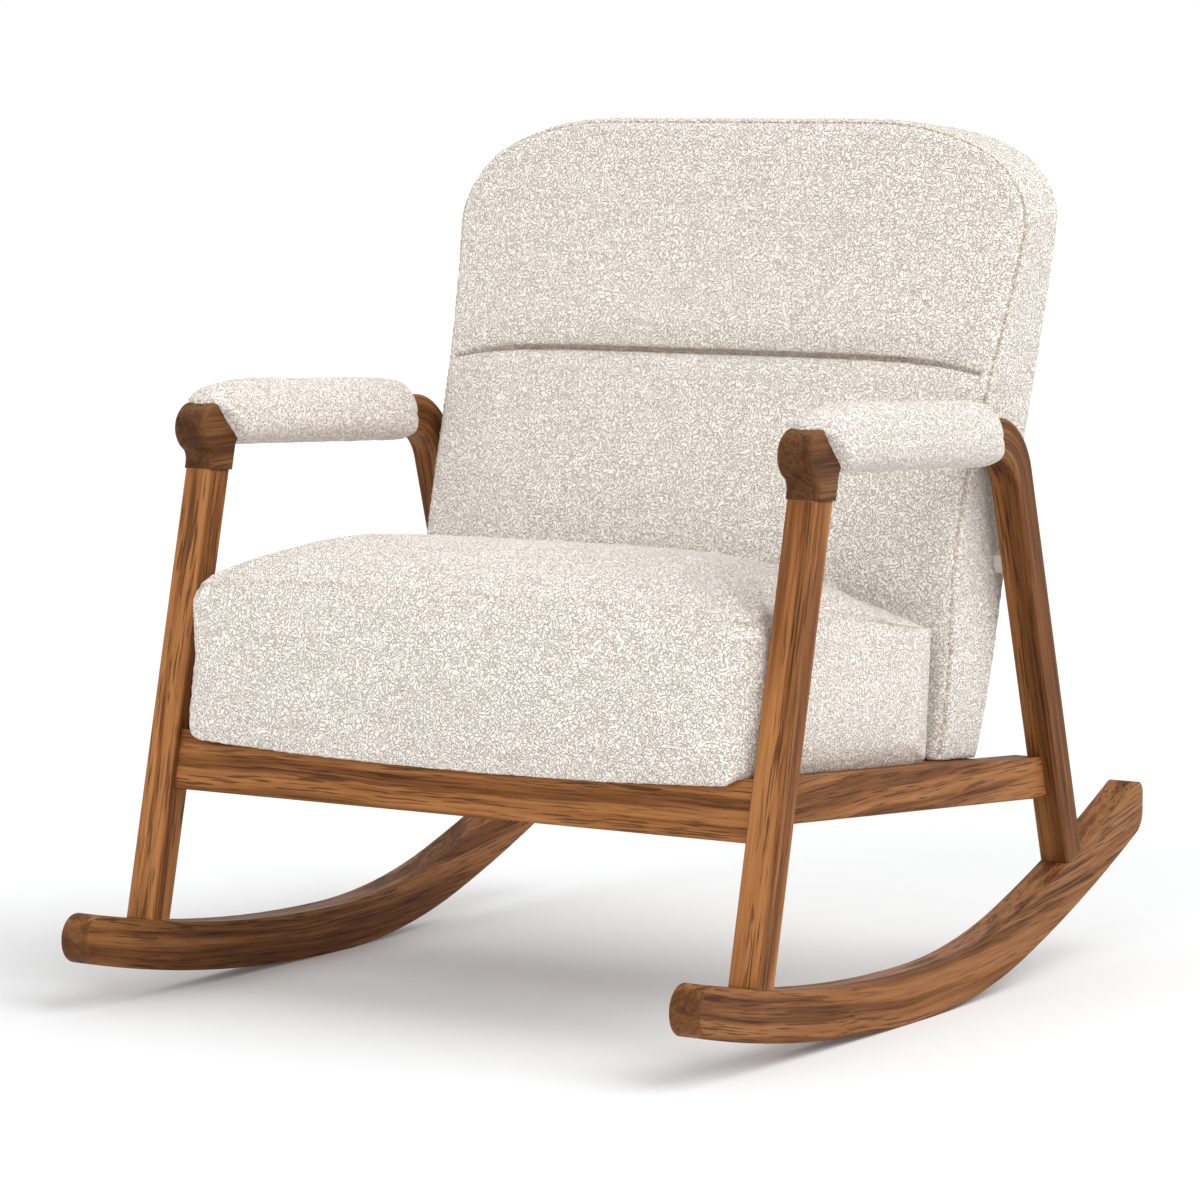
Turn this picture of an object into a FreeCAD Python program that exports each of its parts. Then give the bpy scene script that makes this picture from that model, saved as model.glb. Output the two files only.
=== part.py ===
import FreeCAD
import Part
import math
import os

V = FreeCAD.Vector
ACROSS = V(1, 0, 0)
UP = V(0, 0, 1)

# Upholstered rocking chair, millimetres. The front faces -Y, +Z is up, +X is right as seen from the front.
# The chair is drawn with a level seat and then leans back on its runners by the rest tilt.

# Stance
frame_width = 720.0
rest_tilt = 4.2
tilt_height = 225.0
tilt_setback = -85.0

# Runners: arcs that meet at the point where the chair rests, and a flatter heel
runner_front_radius = 1800.0
runner_rear_radius = 700.0
runner_heel_radius = 1900.0
runner_heel_start = 210.0
runner_height = 48.0
runner_front_reach = 418.0
runner_rear_reach = 456.0
toe_radius = 23.0
heel_top_radius = 12.0
heel_radius = 24.0

# Legs
leg_width = 32.0
leg_depth = 32.0
front_leg_lean = 9.0
front_leg_y = -196.0
rear_leg_lean = -20.5
rear_leg_y = 340.0
leg_edge = 2.5

# Arms: a bullnose block on the front leg, a bar under the pad, an elbow on the rear leg
arm_bottom = 534.0
arm_height = 38.0
arm_width = 36.0
nose_radius = 24.5
nose_drop = 12.5
nose_fillet = 12.0
arm_neck = 34.0
arm_rise = 95.0
arm_pitch = 1.6
arm_joint_y = 140.0
arm_tenon = 24.0
arm_tenon_width = 14.0
elbow_radius = 72.0
elbow_inner_radius = 46.0

# Seat rails
rail_top = 245.0
side_rail_height = 41.0
side_rail_width = 30.0
side_rail_inset = 14.0
front_rail_height = 58.0
front_rail_width = 20.0
front_rail_setback = 9.0
cross_rail_width = 30.0
rear_rail_y = 133.0
back_rail_y = 204.0
tenon_length = 16.0
tenon_width = 11.0
tenon_height = 20.0
tenon_edge = 5.0
cross_tenon = 10.0

# Loose tenons, corner blocks, screws and pins
loose_tenon_length = 46.0
loose_tenon_width = 18.0
loose_tenon_thickness = 9.0
rod_sides = 8
block_leg = 62.0
block_height = 30.0
block_screw_in = 22.0
screw_diameter = 5.0
screw_head = 10.0
screw_head_height = 3.0
screw_bite = 20.0

# Upholstery in general
cover_skin = 3.0
strap_thickness = 2.0
seat_gap = 3.0
back_gap = 10.0
edge_pull = 0.75
cover_places = [0.0, 2.5, 8.0, 17.0, 30.0, 58.0, 105.0, 185.0]
cover_chords = 7
lining_places = [0.0, 28.0, 150.0]
lining_chords = 2

# Seat cushion
seat_front = -213.0
seat_front_bulge = 13.0
seat_rear_gap = 3.0
seat_seam = 374.0
seat_crown = 440.0
seat_side_crown = 380.0
seat_rear_height = 430.0
seat_side_rear = 364.0
seat_edge = 28.0
seat_crown_y = -30.0
seat_crown_power = 3.6
seat_rear_power = 1.7
seat_shoulder = 45.0
seat_shoulder_rise = 0.76
seat_shoulder_turns = [(0.09, 0.35), (0.38, 0.72)]
frame_board = 46.0
frame_board_height = 28.0
frame_margin = 18.0
seat_strap_width = 58.0
seat_strap_count = 5

# Back cushion: a lower and an upper bolster that meet at a sewn channel
back_foot_front = 158.0
back_foot_rear = 244.0
back_waist = 440.0
back_waist_front = 183.0
back_channel = 634.0
back_channel_depth = 229.0
back_lip_low = 28.0
back_lip_high = 34.0
back_lip_low_front = 219.0
back_lip_high_front = 237.0
back_lip_turn = 0.32
back_lip_swell = 0.69
back_head = 750.0
back_head_front = 254.0
back_brow = 860.0
back_brow_front = 268.0
back_brow_rear = 332.0
back_spine = 500.0
back_spine_rear = 306.0
back_top_rise = 22.0
back_corner = 120.0
back_corner_reach = 175.0
back_flare = 6.0
back_foot_crown = 8.0
back_crown = 19.0
back_lip_low_crown = 20.0
back_lip_high_crown = 26.0
back_head_crown = 22.0
back_brow_crown = 10.0
back_crown_power = 3.2
back_edge = 13.0
stile_width = 28.0
stile_depth = 36.0
stile_inset = 20.0
stile_rear_pad = 6.0
panel_thickness = 3.0
back_rail_height = 48.0
back_rail_depth = 26.0
back_strap_width = 55.0
back_strap_count = 5
stile_head = 80.0
spacer_diameter = 26.0
pin_diameter = 8.0
pin_height = 440.0
pin_depth = 16.0

# Arm pads
pad_front = -176.0
pad_rear = 186.0
pad_half_width = 33.0
pad_under = 12.0
pad_over = 17.0
pad_nose_drop = 9.0
pad_front_round = 46.0
pad_front_taper = 56.0
pad_taper_power = 1.3
pad_front_dip = 17.0
pad_rear_round = 36.0
pad_rear_dip = 24.0
pad_tip = 0.35
pad_foot = 0.8
pad_shoulder = 0.86
pad_ledge = 0.72
pad_waist = 0.38
pad_places = [0.0, 1.5, 5.0, 11.0, 20.0, 34.0, 56.0]
pad_chords = 4
pad_wadding = 6.0


def bend(start, through, end, chords):
    """Arc through three points, or straight chords along it when a count is given."""
    arc = Part.Arc(start, through, end).toShape()
    if not chords:
        return [arc]
    points = arc.discretize(chords + 1)
    return [Part.makeLine(a, b) for a, b in zip(points, points[1:])]


def outline(x, start, steps, chords=0):
    """Closed outline across the plane at x. A step is a point, or a pair: a point on an arc and its end."""
    edges = []
    here = V(x, *start)
    for step in list(steps) + [start]:
        if isinstance(step[0], tuple):
            end = V(x, *step[1])
            edges.extend(bend(here, V(x, *step[0]), end, chords))
        else:
            end = V(x, *step)
            if here.distanceToPoint(end) < 1e-6:
                continue
            edges.append(Part.makeLine(here, end))
        here = end
    return Part.Wire(edges)


def slab(x0, x1, start, steps):
    """Board cut to an outline, between two planes across the chair."""
    return Part.Face(outline(x0, start, steps)).extrude(V(x1 - x0, 0, 0))


def box(x0, x1, y0, y1, z0, z1):
    return Part.makeBox(x1 - x0, y1 - y0, z1 - z0, V(x0, y0, z0))


def corner(before, point, after, radius):
    """Start, middle and end of the arc that rounds a corner of an outline."""
    a = V(before[0] - point[0], before[1] - point[1], 0).normalize()
    b = V(after[0] - point[0], after[1] - point[1], 0).normalize()
    half = a.getAngle(b) / 2
    run = radius / math.tan(half)
    middle = V(a + b).normalize() * (radius / math.sin(half) - radius)
    centre = V(point[0], point[1], 0)
    return [(p.x, p.y) for p in (centre + a * run, centre + middle, centre + b * run)]


def circle_through(p, q, r):
    """Centre and radius of the circle through three points."""
    d = 2 * (p[0] * (q[1] - r[1]) + q[0] * (r[1] - p[1]) + r[0] * (p[1] - q[1]))
    squares = [v[0] ** 2 + v[1] ** 2 for v in (p, q, r)]
    cy = (squares[0] * (q[1] - r[1]) + squares[1] * (r[1] - p[1]) + squares[2] * (p[1] - q[1])) / d
    cz = (squares[0] * (r[0] - q[0]) + squares[1] * (p[0] - r[0]) + squares[2] * (q[0] - p[0])) / d
    return cy, cz, math.hypot(p[0] - cy, p[1] - cz)


def lean(shape):
    """Lean a level piece back to the rest position on the runners."""
    moved = shape.copy()
    moved.rotate(V(0, 0, tilt_height), ACROSS, -rest_tilt)
    moved.translate(V(0, tilt_setback, 0))
    return moved


def lean_point(y, z):
    turn = math.radians(rest_tilt)
    dz = z - tilt_height
    return (tilt_setback + y * math.cos(turn) + dz * math.sin(turn),
            tilt_height - y * math.sin(turn) + dz * math.cos(turn))


def mirrored(shape):
    return shape.mirror(V(0, 0, 0), ACROSS)


def rod(diameter, length, base, axis):
    """Round rod drawn with a few flat sides."""
    side = axis.cross(V(axis.y, axis.z, -axis.x)).normalize() * (diameter / 2)
    turn = 360.0 / rod_sides
    points = [base + FreeCAD.Rotation(axis, turn * (n + 0.5)).multVec(side) for n in range(rod_sides)]
    return Part.Face(Part.makePolygon(points + [points[0]])).extrude(axis * length)


def eased(shape, width, x_planes, keep):
    """Ease the long edges that lie in the given planes across the chair, where keep allows."""
    edges = []
    for edge in shape.Edges:
        box_of = edge.BoundBox
        flat = box_of.XLength < 1e-4
        if flat and min(abs(box_of.XMin - x) for x in x_planes) < 1e-4 and keep(edge):
            edges.append(edge)
    return shape.makeChamfer(width, edges)


# Places that follow from the sizes
x_out = frame_width / 2
x_in = x_out - leg_width
x_mid = (x_out + x_in) / 2
arm_top = arm_bottom + arm_height
leg_top = arm_bottom - arm_neck
leg_low = tilt_height - 3 * runner_height - rail_top / 2
pad_bottom = arm_bottom - pad_under
pad_top = arm_top + pad_over
pad_nose_height = arm_top - pad_nose_drop
rail_bottom = rail_top - side_rail_height
rail_out = x_out - side_rail_inset
rail_in = rail_out - side_rail_width
contact_y = (runner_front_reach - runner_rear_reach) / 2
front_tip = contact_y - runner_front_reach
rear_tip = contact_y + runner_rear_reach


def leg_face(base_y, angle, side, z):
    """Position of a leg's front (-1) or rear (1) face, or its middle (0), at a height."""
    turn = math.radians(angle)
    return base_y + (z - rail_top) * math.tan(turn) + side * leg_depth / 2 / math.cos(turn)


def front_leg_face(side, z):
    return leg_face(front_leg_y, front_leg_lean, side, z)


def rear_leg_face(side, z):
    return leg_face(rear_leg_y, rear_leg_lean, side, z)


arm_slope = math.tan(math.radians(arm_pitch))
arm_start = front_leg_face(0, arm_bottom)


def arm_lift(y):
    """How far the arm has climbed above its front end."""
    return (y - arm_start) * arm_slope


def arm_at_rear_leg(side, level):
    """Where a line along the arm meets a face of the rear leg."""
    lean_rate = math.tan(math.radians(rear_leg_lean))
    z = (level + arm_lift(rear_leg_face(side, 0.0))) / (1 - lean_rate * arm_slope)
    return (rear_leg_face(side, z), z)


# Runners
def runner_spans(lift):
    """Centre, radius and reach of each arc of the runner at a height above its underside."""
    turn = math.asin(runner_heel_start / runner_rear_radius)
    knee = contact_y + (runner_rear_radius - lift) * math.sin(turn)
    apart = runner_heel_radius - runner_rear_radius
    heel = (contact_y - apart * math.sin(turn), runner_rear_radius + apart * math.cos(turn))
    return [(contact_y, runner_front_radius, runner_front_radius - lift, front_tip, contact_y),
            (contact_y, runner_rear_radius, runner_rear_radius - lift, contact_y, knee),
            (heel[0], heel[1], runner_heel_radius - lift, knee, rear_tip)]


def runner_z(y, lift):
    spans = runner_spans(lift)
    cy, cz, radius = next((s for s in spans if y <= s[4]), spans[-1])[:3]
    return cz - math.sqrt(radius ** 2 - (y - cy) ** 2)


def runner_point(y, lift):
    return (y, runner_z(y, lift))


def runner_arcs(y_from, y_to, lift):
    """Arcs along the runner at a height above its underside, through the resting point."""
    stops = sorted([y_from, contact_y, runner_spans(lift)[1][4], y_to], reverse=y_from > y_to)
    return [(runner_point((a + b) / 2, lift), runner_point(b, lift)) for a, b in zip(stops, stops[1:])]


def end_edges(board, y):
    """Edges across the end of a runner, from the lowest up."""
    edges = []
    for edge in board.Edges:
        extent = edge.BoundBox
        if extent.XLength > extent.ZLength and abs(extent.YMax - y) < 0.01 and abs(extent.YMin - y) < 0.01:
            edges.append(edge)
    return sorted(edges, key=lambda e: e.BoundBox.ZMin)


def make_runner():
    """Runner with a bullnose toe and a heel that is rounded more below than above."""
    board = slab(x_in, x_out, runner_point(front_tip, 0.0),
                 runner_arcs(front_tip, rear_tip, 0.0) + [runner_point(rear_tip, runner_height)]
                 + runner_arcs(rear_tip, front_tip, runner_height))
    board = board.makeFillet(toe_radius, end_edges(board, front_tip))
    board = board.makeFillet(heel_radius, end_edges(board, rear_tip)[:1])
    return board.makeFillet(heel_top_radius, end_edges(board, rear_tip)[-1:])


def below_runner_top():
    """Everything under the runner's top curve, to shape the feet of the legs."""
    top = runner_arcs(front_tip, rear_tip, runner_height)
    deep = -runner_rear_radius / 4
    return slab(x_in - leg_width, x_out + leg_width, (front_tip, deep),
                [runner_point(front_tip, runner_height)] + top + [(rear_tip, deep)])


def meet_runner(point, direction):
    """Where a line of a leg meets the runner's top curve."""
    dy, dz = direction
    places = []
    for cy, cz, radius, near, far in runner_spans(runner_height):
        oy, oz = point[0] - cy, point[1] - cz
        b = oy * dy + oz * dz
        t = -b + math.sqrt(b * b - oy * oy - oz * oz + radius ** 2)
        y = point[0] + t * dy
        places.append((max(near - y, y - far), (y, point[1] + t * dz)))
    return min(places)[1]


def loose_tenon(middle, angle):
    """Flat tenon across a joint of a leg, along the leg, with its middle in the joint."""
    long = loose_tenon_length / 2
    thick = loose_tenon_thickness / 2
    wide = loose_tenon_width / 2
    tenon = box(x_mid - wide, x_mid + wide, -thick, thick, -long, long)
    tenon.rotate(V(0, 0, 0), ACROSS, -angle)
    tenon.translate(V(0, *middle))
    return tenon


def foot_tenon(base_y, angle):
    """Tenon half in a leg and half in the runner."""
    turn = math.radians(angle + rest_tilt)
    foot = meet_runner(lean_point(base_y, rail_top), (-math.sin(turn), -math.cos(turn)))
    return loose_tenon(foot, angle + rest_tilt)


# Rails
def make_side_rail():
    """Side rail between the legs, with a stub tenon at each end."""
    ends = (front_leg_face(1, rail_bottom), rear_leg_face(-1, rail_bottom),
            rear_leg_face(-1, rail_top), front_leg_face(1, rail_top))
    rail = slab(rail_in, rail_out, (ends[0], rail_bottom),
                [(ends[1], rail_bottom), (ends[2], rail_top), (ends[3], rail_top)])
    tenon_top = rail_top - tenon_edge
    tenon_low = tenon_top - tenon_height
    tenon_x = x_in + (rail_out - x_in) / 2 - tenon_width / 2
    tenon = slab(tenon_x, tenon_x + tenon_width,
                 (front_leg_face(1, tenon_low) - tenon_length, tenon_low),
                 [(rear_leg_face(-1, tenon_low) + tenon_length, tenon_low),
                  (rear_leg_face(-1, tenon_top) + tenon_length, tenon_top),
                  (front_leg_face(1, tenon_top) - tenon_length, tenon_top)])
    return rail.fuse(tenon).removeSplitter()


def front_rail_section(x0, x1, low, high, front, width):
    """Leaning board across the chair, parallel to the front legs."""
    flat = math.cos(math.radians(front_leg_lean))
    near = [front_leg_face(-1, z) + front / flat for z in (low, high)]
    far = [y + width / flat for y in near]
    return slab(x0, x1, (near[0], low), [(far[0], low), (far[1], high), (near[1], high)])


def make_front_rail():
    low = rail_top - front_rail_height
    rail = front_rail_section(-x_in, x_in, low, rail_top, front_rail_setback, front_rail_width)
    tenon_front = front_rail_setback + (front_rail_width - tenon_width) / 2
    tenon_low = low + tenon_edge
    tenon = front_rail_section(-x_in - tenon_length, x_in + tenon_length, tenon_low,
                               rail_bottom + tenon_edge, tenon_front, tenon_width)
    return rail.fuse(tenon).removeSplitter()


def make_cross_rail(y):
    rail = box(-rail_in, rail_in, y, y + cross_rail_width, rail_bottom, rail_top)
    tenon_y = y + (cross_rail_width - tenon_width) / 2
    tenon_low = rail_bottom + (side_rail_height - tenon_height) / 2
    tenon = box(-rail_in - cross_tenon, rail_in + cross_tenon, tenon_y, tenon_y + tenon_width,
                tenon_low, tenon_low + tenon_height)
    return rail.fuse(tenon).removeSplitter()


# Arms and legs
def make_arm_rail():
    """Bullnose block with its neck on the front leg, and the bar that carries the pad."""
    nose_z = arm_bottom + arm_height / 2 - nose_drop
    nose_y = front_leg_face(-1, nose_z)
    turn = math.radians(front_leg_lean)
    up = (math.sin(turn), math.cos(turn))
    ahead = (-math.cos(turn), math.sin(turn))
    reach = math.sqrt((nose_radius + nose_fillet) ** 2 - nose_fillet ** 2)
    pivot = (nose_y + ahead[0] * nose_fillet - up[0] * reach, nose_z + ahead[1] * nose_fillet - up[1] * reach)
    on_leg = (nose_y - up[0] * reach, nose_z - up[1] * reach)
    share = nose_radius / (nose_radius + nose_fillet)
    on_nose = (nose_y + (pivot[0] - nose_y) * share, nose_z + (pivot[1] - nose_z) * share)
    to_leg = math.atan2(on_leg[1] - pivot[1], on_leg[0] - pivot[0])
    to_nose = math.atan2(on_nose[1] - pivot[1], on_nose[0] - pivot[0])
    half = (to_leg + to_nose) / 2
    in_fillet = (pivot[0] + nose_fillet * math.cos(half), pivot[1] + nose_fillet * math.sin(half))
    crest = (nose_y + arm_rise, arm_top + arm_lift(nose_y + arm_rise))
    joint_lift = arm_lift(arm_joint_y)
    span = math.hypot(crest[0] - nose_y, crest[1] - nose_z)
    bearing = math.atan2(crest[1] - nose_z, crest[0] - nose_y) + math.acos(nose_radius / span)
    leave = (nose_y + nose_radius * math.cos(bearing), nose_z + nose_radius * math.sin(bearing))
    front = math.radians(180)
    tip = (nose_y + nose_radius * math.cos(front), nose_z + nose_radius * math.sin(front))
    rear_low = (front_leg_face(1, leg_top), leg_top)
    front_low = (front_leg_face(-1, leg_top), leg_top)
    inner = corner((arm_joint_y, arm_bottom + joint_lift), (front_leg_face(1, arm_bottom), arm_bottom), rear_low,
                   nose_fillet)
    steps = [front_low, on_leg, (in_fillet, on_nose), (tip, leave), crest,
             (arm_joint_y, arm_top + joint_lift), (arm_joint_y, arm_bottom + joint_lift), inner[0],
             (inner[1], inner[2])]
    half_width = arm_width / 2
    arm = slab(x_mid - half_width, x_mid + half_width, rear_low, steps)
    planes = (x_mid - half_width, x_mid + half_width)
    arm = eased(arm, leg_edge, planes, lambda e: e.BoundBox.YMax < crest[0] and e.BoundBox.ZMax > nose_z)
    tenon_edge_z = arm_height / 4
    tenon = box(x_mid - arm_tenon_width / 2, x_mid + arm_tenon_width / 2, arm_joint_y, arm_joint_y + arm_tenon,
                arm_bottom + joint_lift + tenon_edge_z, arm_top + joint_lift - tenon_edge_z)
    return arm.fuse(tenon).removeSplitter()


def make_front_leg():
    low = leg_low
    steps = [(front_leg_face(1, low), low), (front_leg_face(1, leg_top), leg_top), (front_leg_face(-1, leg_top), leg_top)]
    leg = slab(x_in, x_out, (front_leg_face(-1, low), low), steps)
    return eased(leg, leg_edge, (x_in, x_out), lambda e: e.BoundBox.ZLength > leg_depth)


def make_rear_leg():
    """Rear leg with the elbow that carries the arm round into it."""
    low = leg_low
    joint_lift = arm_lift(arm_joint_y)
    joint_top = (arm_joint_y, arm_top + joint_lift)
    joint_low = (arm_joint_y, arm_bottom + joint_lift)
    top_corner = arm_at_rear_leg(1, arm_top)
    inner_corner = arm_at_rear_leg(-1, arm_bottom)
    foot_rear = (rear_leg_face(1, low), low)
    foot_front = (rear_leg_face(-1, low), low)
    outer = corner(joint_top, top_corner, foot_rear, elbow_radius)
    inner = corner(foot_front, inner_corner, joint_low, elbow_inner_radius)
    steps = [outer[0], (outer[1], outer[2]), foot_rear, foot_front, inner[0], (inner[1], inner[2]), joint_low]
    leg = slab(x_in, x_out, joint_top, steps)
    return eased(leg, leg_edge, (x_in, x_out),
                 lambda e: e.BoundBox.YMin > arm_joint_y - 0.01 and e.BoundBox.YMax - e.BoundBox.YMin > 20
                 and e.BoundBox.ZMax > low + 1)


# Cushions
def spread(half_width, places):
    """Section planes from side to side, mirrored about the middle."""
    right = [half_width - p for p in places]
    return [-x for x in right] + [0.0] + right[::-1]


def edge_inset(x, half_width, edge):
    """How far a section draws in near the sides, on a quarter round."""
    depth = max(0.0, abs(x) - (half_width - edge))
    return edge - math.sqrt(max(0.0, edge * edge - depth * depth))


seat_half = x_in - seat_gap
waist_circle = circle_through((back_foot_front - back_foot_crown, rail_top),
                              (back_waist_front - back_crown, back_waist),
                              (back_lip_low_front - back_lip_low_crown, back_channel - back_lip_low))
seat_rear = waist_circle[0] - waist_circle[2] - seat_rear_gap


def seat_loft(skin, places, chords=0):
    """Crowned seat cushion with drawn-in sides, or its inside when a skin is given."""
    half = seat_half - skin
    wires = []
    for x in spread(half, places):
        full = abs(x) / half
        draw = edge_inset(x, half, seat_edge)
        i = draw * edge_pull + skin
        rise = math.sqrt(1 - full ** seat_crown_power)
        crown = seat_side_crown + (seat_crown - seat_side_crown) * rise - draw - skin
        rear = seat_side_rear + (seat_rear_height - seat_side_rear) * (1 - full ** seat_rear_power) - draw - skin
        base = rail_top + skin
        seam = seat_seam - draw - skin
        front_mid = (base + seam) / 2
        bulge = seat_front_bulge * (1 - full ** 3 / 2)
        shoulder = (seat_front + seat_shoulder + i, seam + (crown - seam) * seat_shoulder_rise)
        turns = [(seat_front + seat_shoulder * along + i, seam + (shoulder[1] - seam) * up)
                 for along, up in seat_shoulder_turns]
        steps = [((seat_front - bulge + i, front_mid), (seat_front + i, seam)),
                 *turns,
                 shoulder,
                 ((seat_crown_y, crown), (seat_rear - i, rear)),
                 (seat_rear - i, base)]
        wires.append(outline(x, (seat_front + i, base), steps, chords))
    return Part.makeLoft(wires, True, True)


back_half = x_in - back_gap
front_circle = circle_through((back_channel_depth, back_channel), (back_head_front, back_head),
                              (back_brow_front, back_brow))
rear_circle = circle_through((back_foot_rear, rail_top), (back_spine_rear, back_spine), (back_brow_rear, back_brow))
back_top = back_brow + back_top_rise


def on_circle(circle, near, z):
    """Depth of a circle at a height, on the side of a known place."""
    side = 1 if circle[0] < near else -1
    return circle[0] + side * math.sqrt(circle[2] ** 2 - (z - circle[1]) ** 2)


def head_y(z):
    return on_circle(front_circle, back_head_front, z)


def spine_y(z):
    return on_circle(rear_circle, back_spine_rear, z)


def back_loft(skin, places, chords=0):
    """Back cushion with its two bolsters, flare and rounded top corners, or its inside when a skin is given."""
    half = back_half - skin
    lower = []
    upper = []
    for x in spread(half, places):
        draw = edge_inset(x, half, back_edge)
        i = draw * edge_pull + skin
        past = max(0.0, abs(x) - (half - back_corner_reach)) / back_corner_reach
        drop = back_corner * (1 - math.sqrt(1 - past ** 2))
        crown = 1 - (abs(x) / half) ** back_crown_power
        base = rail_top + skin
        top = back_top - drop - skin
        brow = top - back_top_rise
        middle = (back_channel + back_lip_high + brow) / 2
        fold = (back_channel_depth + i, back_channel)
        rear = (spine_y(back_channel) - i, back_channel)
        low_lip = (back_lip_low_front - back_lip_low_crown * crown + i, back_channel - back_lip_low)
        high_lip = (back_lip_high_front - back_lip_high_crown * crown + i, back_channel + back_lip_high)
        turns = []
        for lip in (low_lip, high_lip):
            turns.append((fold[0] + (lip[0] - fold[0]) * back_lip_swell, fold[1] + (lip[1] - fold[1]) * back_lip_turn))
        brow_front = head_y(brow) - back_brow_crown * crown + i
        brow_rear = spine_y(brow) - i
        low_middle = (back_channel + base) / 2
        high_middle = (back_channel + brow) / 2
        lower.append(outline(x, (back_foot_front - back_foot_crown * crown + i, base), [
            ((back_waist_front - back_crown * crown + i, back_waist), low_lip), turns[0], fold, rear,
            ((spine_y(low_middle) - i, low_middle), (back_foot_rear - i, base))], chords))
        level = outline(x, fold, [
            turns[1], high_lip,
            ((head_y(middle) - back_head_crown * crown + i, middle), (brow_front, brow)),
            (((brow_front + brow_rear) / 2, top), (brow_rear, brow)),
            ((spine_y(high_middle) - i, high_middle), rear)], chords)
        turn = math.tan(math.radians(back_flare)) * x / half
        spread_out = FreeCAD.Matrix(1, 0, turn, -turn * back_channel, 0, 1, 0, 0, 0, 0, 1, 0, 0, 0, 0, 1)
        upper.append(Part.Wire(level.transformGeometry(spread_out).Edges))
    body = Part.makeLoft(lower, True, True).fuse(Part.makeLoft(upper, True, True))
    return body.removeSplitter()


def pad_section(y, half, low, high, chords):
    """Section of an arm pad on its arm: flat below, rounded sides and a crowned top."""
    low = low + arm_lift(y)
    high = high + arm_lift(y)
    foot = half * pad_foot
    shoulder = half * pad_shoulder
    ledge = low + (high - low) * pad_ledge
    waist = low + (high - low) * pad_waist
    places = [(-foot, low), (foot, low), (half, waist), (shoulder, ledge), (0.0, high), (-shoulder, ledge), (-half, waist)]
    points = [V(x_mid + x, y, z) for x, z in places]
    edges = [Part.makeLine(points[0], points[1])]
    for n in (1, 3, 5):
        edges.extend(bend(points[n], points[n + 1], points[(n + 2) % len(points)], chords))
    return Part.Wire(edges)


def swell(distance, length):
    """Share of the full size at a distance from a rounded end, on a quarter round."""
    left = max(0.0, 1 - distance / length)
    return math.sqrt(1 - left * left)


def pad_loft():
    """Arm pad that tapers onto the bullnose in front and rounds off before the elbow."""
    wires = []
    for place in pad_places:
        grow = pad_tip + (1 - pad_tip) * swell(place, pad_front_round)
        lift = (pad_nose_height - pad_bottom) * max(0.0, 1 - place / pad_front_taper) ** pad_taper_power
        dip = pad_front_dip * (1 - swell(place, pad_front_round))
        wires.append(pad_section(pad_front + place, pad_half_width * grow, pad_bottom + lift, pad_top - dip, pad_chords))
    for place in reversed(pad_places):
        grow = pad_tip + (1 - pad_tip) * swell(place, pad_rear_round)
        dip = pad_rear_dip * (1 - swell(place, pad_rear_round))
        wires.append(pad_section(pad_rear - place, pad_half_width * grow, pad_bottom + dip, pad_top - dip, pad_chords))
    return Part.makeLoft(wires, True, True)


def pad_core():
    """Straight foam core of an arm pad, between its tapered front and its round rear."""
    front = pad_front + pad_front_taper
    rear = pad_rear - pad_rear_round
    section = pad_section(front, pad_half_width - pad_wadding, pad_bottom + cover_skin, pad_top - pad_wadding, lining_chords)
    return Part.Face(section).extrude(V(0, rear - front, arm_lift(rear) - arm_lift(front)))


# Build the level pieces
runner_right = make_runner()
runner_zone = below_runner_top()
front_tenon = foot_tenon(front_leg_y, front_leg_lean)
rear_tenon = foot_tenon(rear_leg_y, rear_leg_lean)
arm_tenon_loose = loose_tenon((front_leg_face(0, leg_top), leg_top), front_leg_lean)
side_rail = make_side_rail()
front_rail = make_front_rail()
rear_rail = make_cross_rail(rear_rail_y)
back_rail = make_cross_rail(back_rail_y)
side_rail = side_rail.cut(rear_rail).cut(back_rail)
arm_rail = make_arm_rail()
front_leg = make_front_leg().cut(side_rail).cut(front_rail).cut(arm_tenon_loose)
rear_leg = make_rear_leg().cut(side_rail).cut(arm_rail)
arm_rail = arm_rail.cut(arm_tenon_loose)

# Seat unit: frame boards, webbing, foam and cover
frame_half = seat_half - frame_margin
frame_front = seat_front + frame_margin
frame_rear = seat_rear - frame_margin
frame_base = rail_top + cover_skin
frame_top = frame_base + frame_board_height
seat_boards = {
    "seat_frame_front": box(-frame_half, frame_half, frame_front, frame_front + frame_board, frame_base, frame_top),
    "seat_frame_rear": box(-frame_half, frame_half, frame_rear - frame_board, frame_rear, frame_base, frame_top),
}
for name, side in (("seat_frame_right", 1), ("seat_frame_left", -1)):
    near, far = sorted((side * frame_half, side * (frame_half - frame_board)))
    seat_boards[name] = box(near, far, frame_front + frame_board, frame_rear - frame_board, frame_base, frame_top)
strap_top = frame_top + strap_thickness
inside_width = 2 * (frame_half - frame_board)
strap_step = inside_width / seat_strap_count
seat_straps = []
for n in range(seat_strap_count):
    x = -inside_width / 2 + strap_step * (n + 0.5)
    seat_straps.append(box(x - seat_strap_width / 2, x + seat_strap_width / 2, frame_front, frame_rear,
                           frame_top, strap_top))
seat_inside = seat_loft(cover_skin, lining_places, lining_chords)
seat_cover = seat_loft(0.0, cover_places, cover_chords).cut(seat_inside)
seat_foam = seat_inside.cut(box(-x_out, x_out, 2 * seat_front, back_foot_rear, 0, strap_top))

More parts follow.
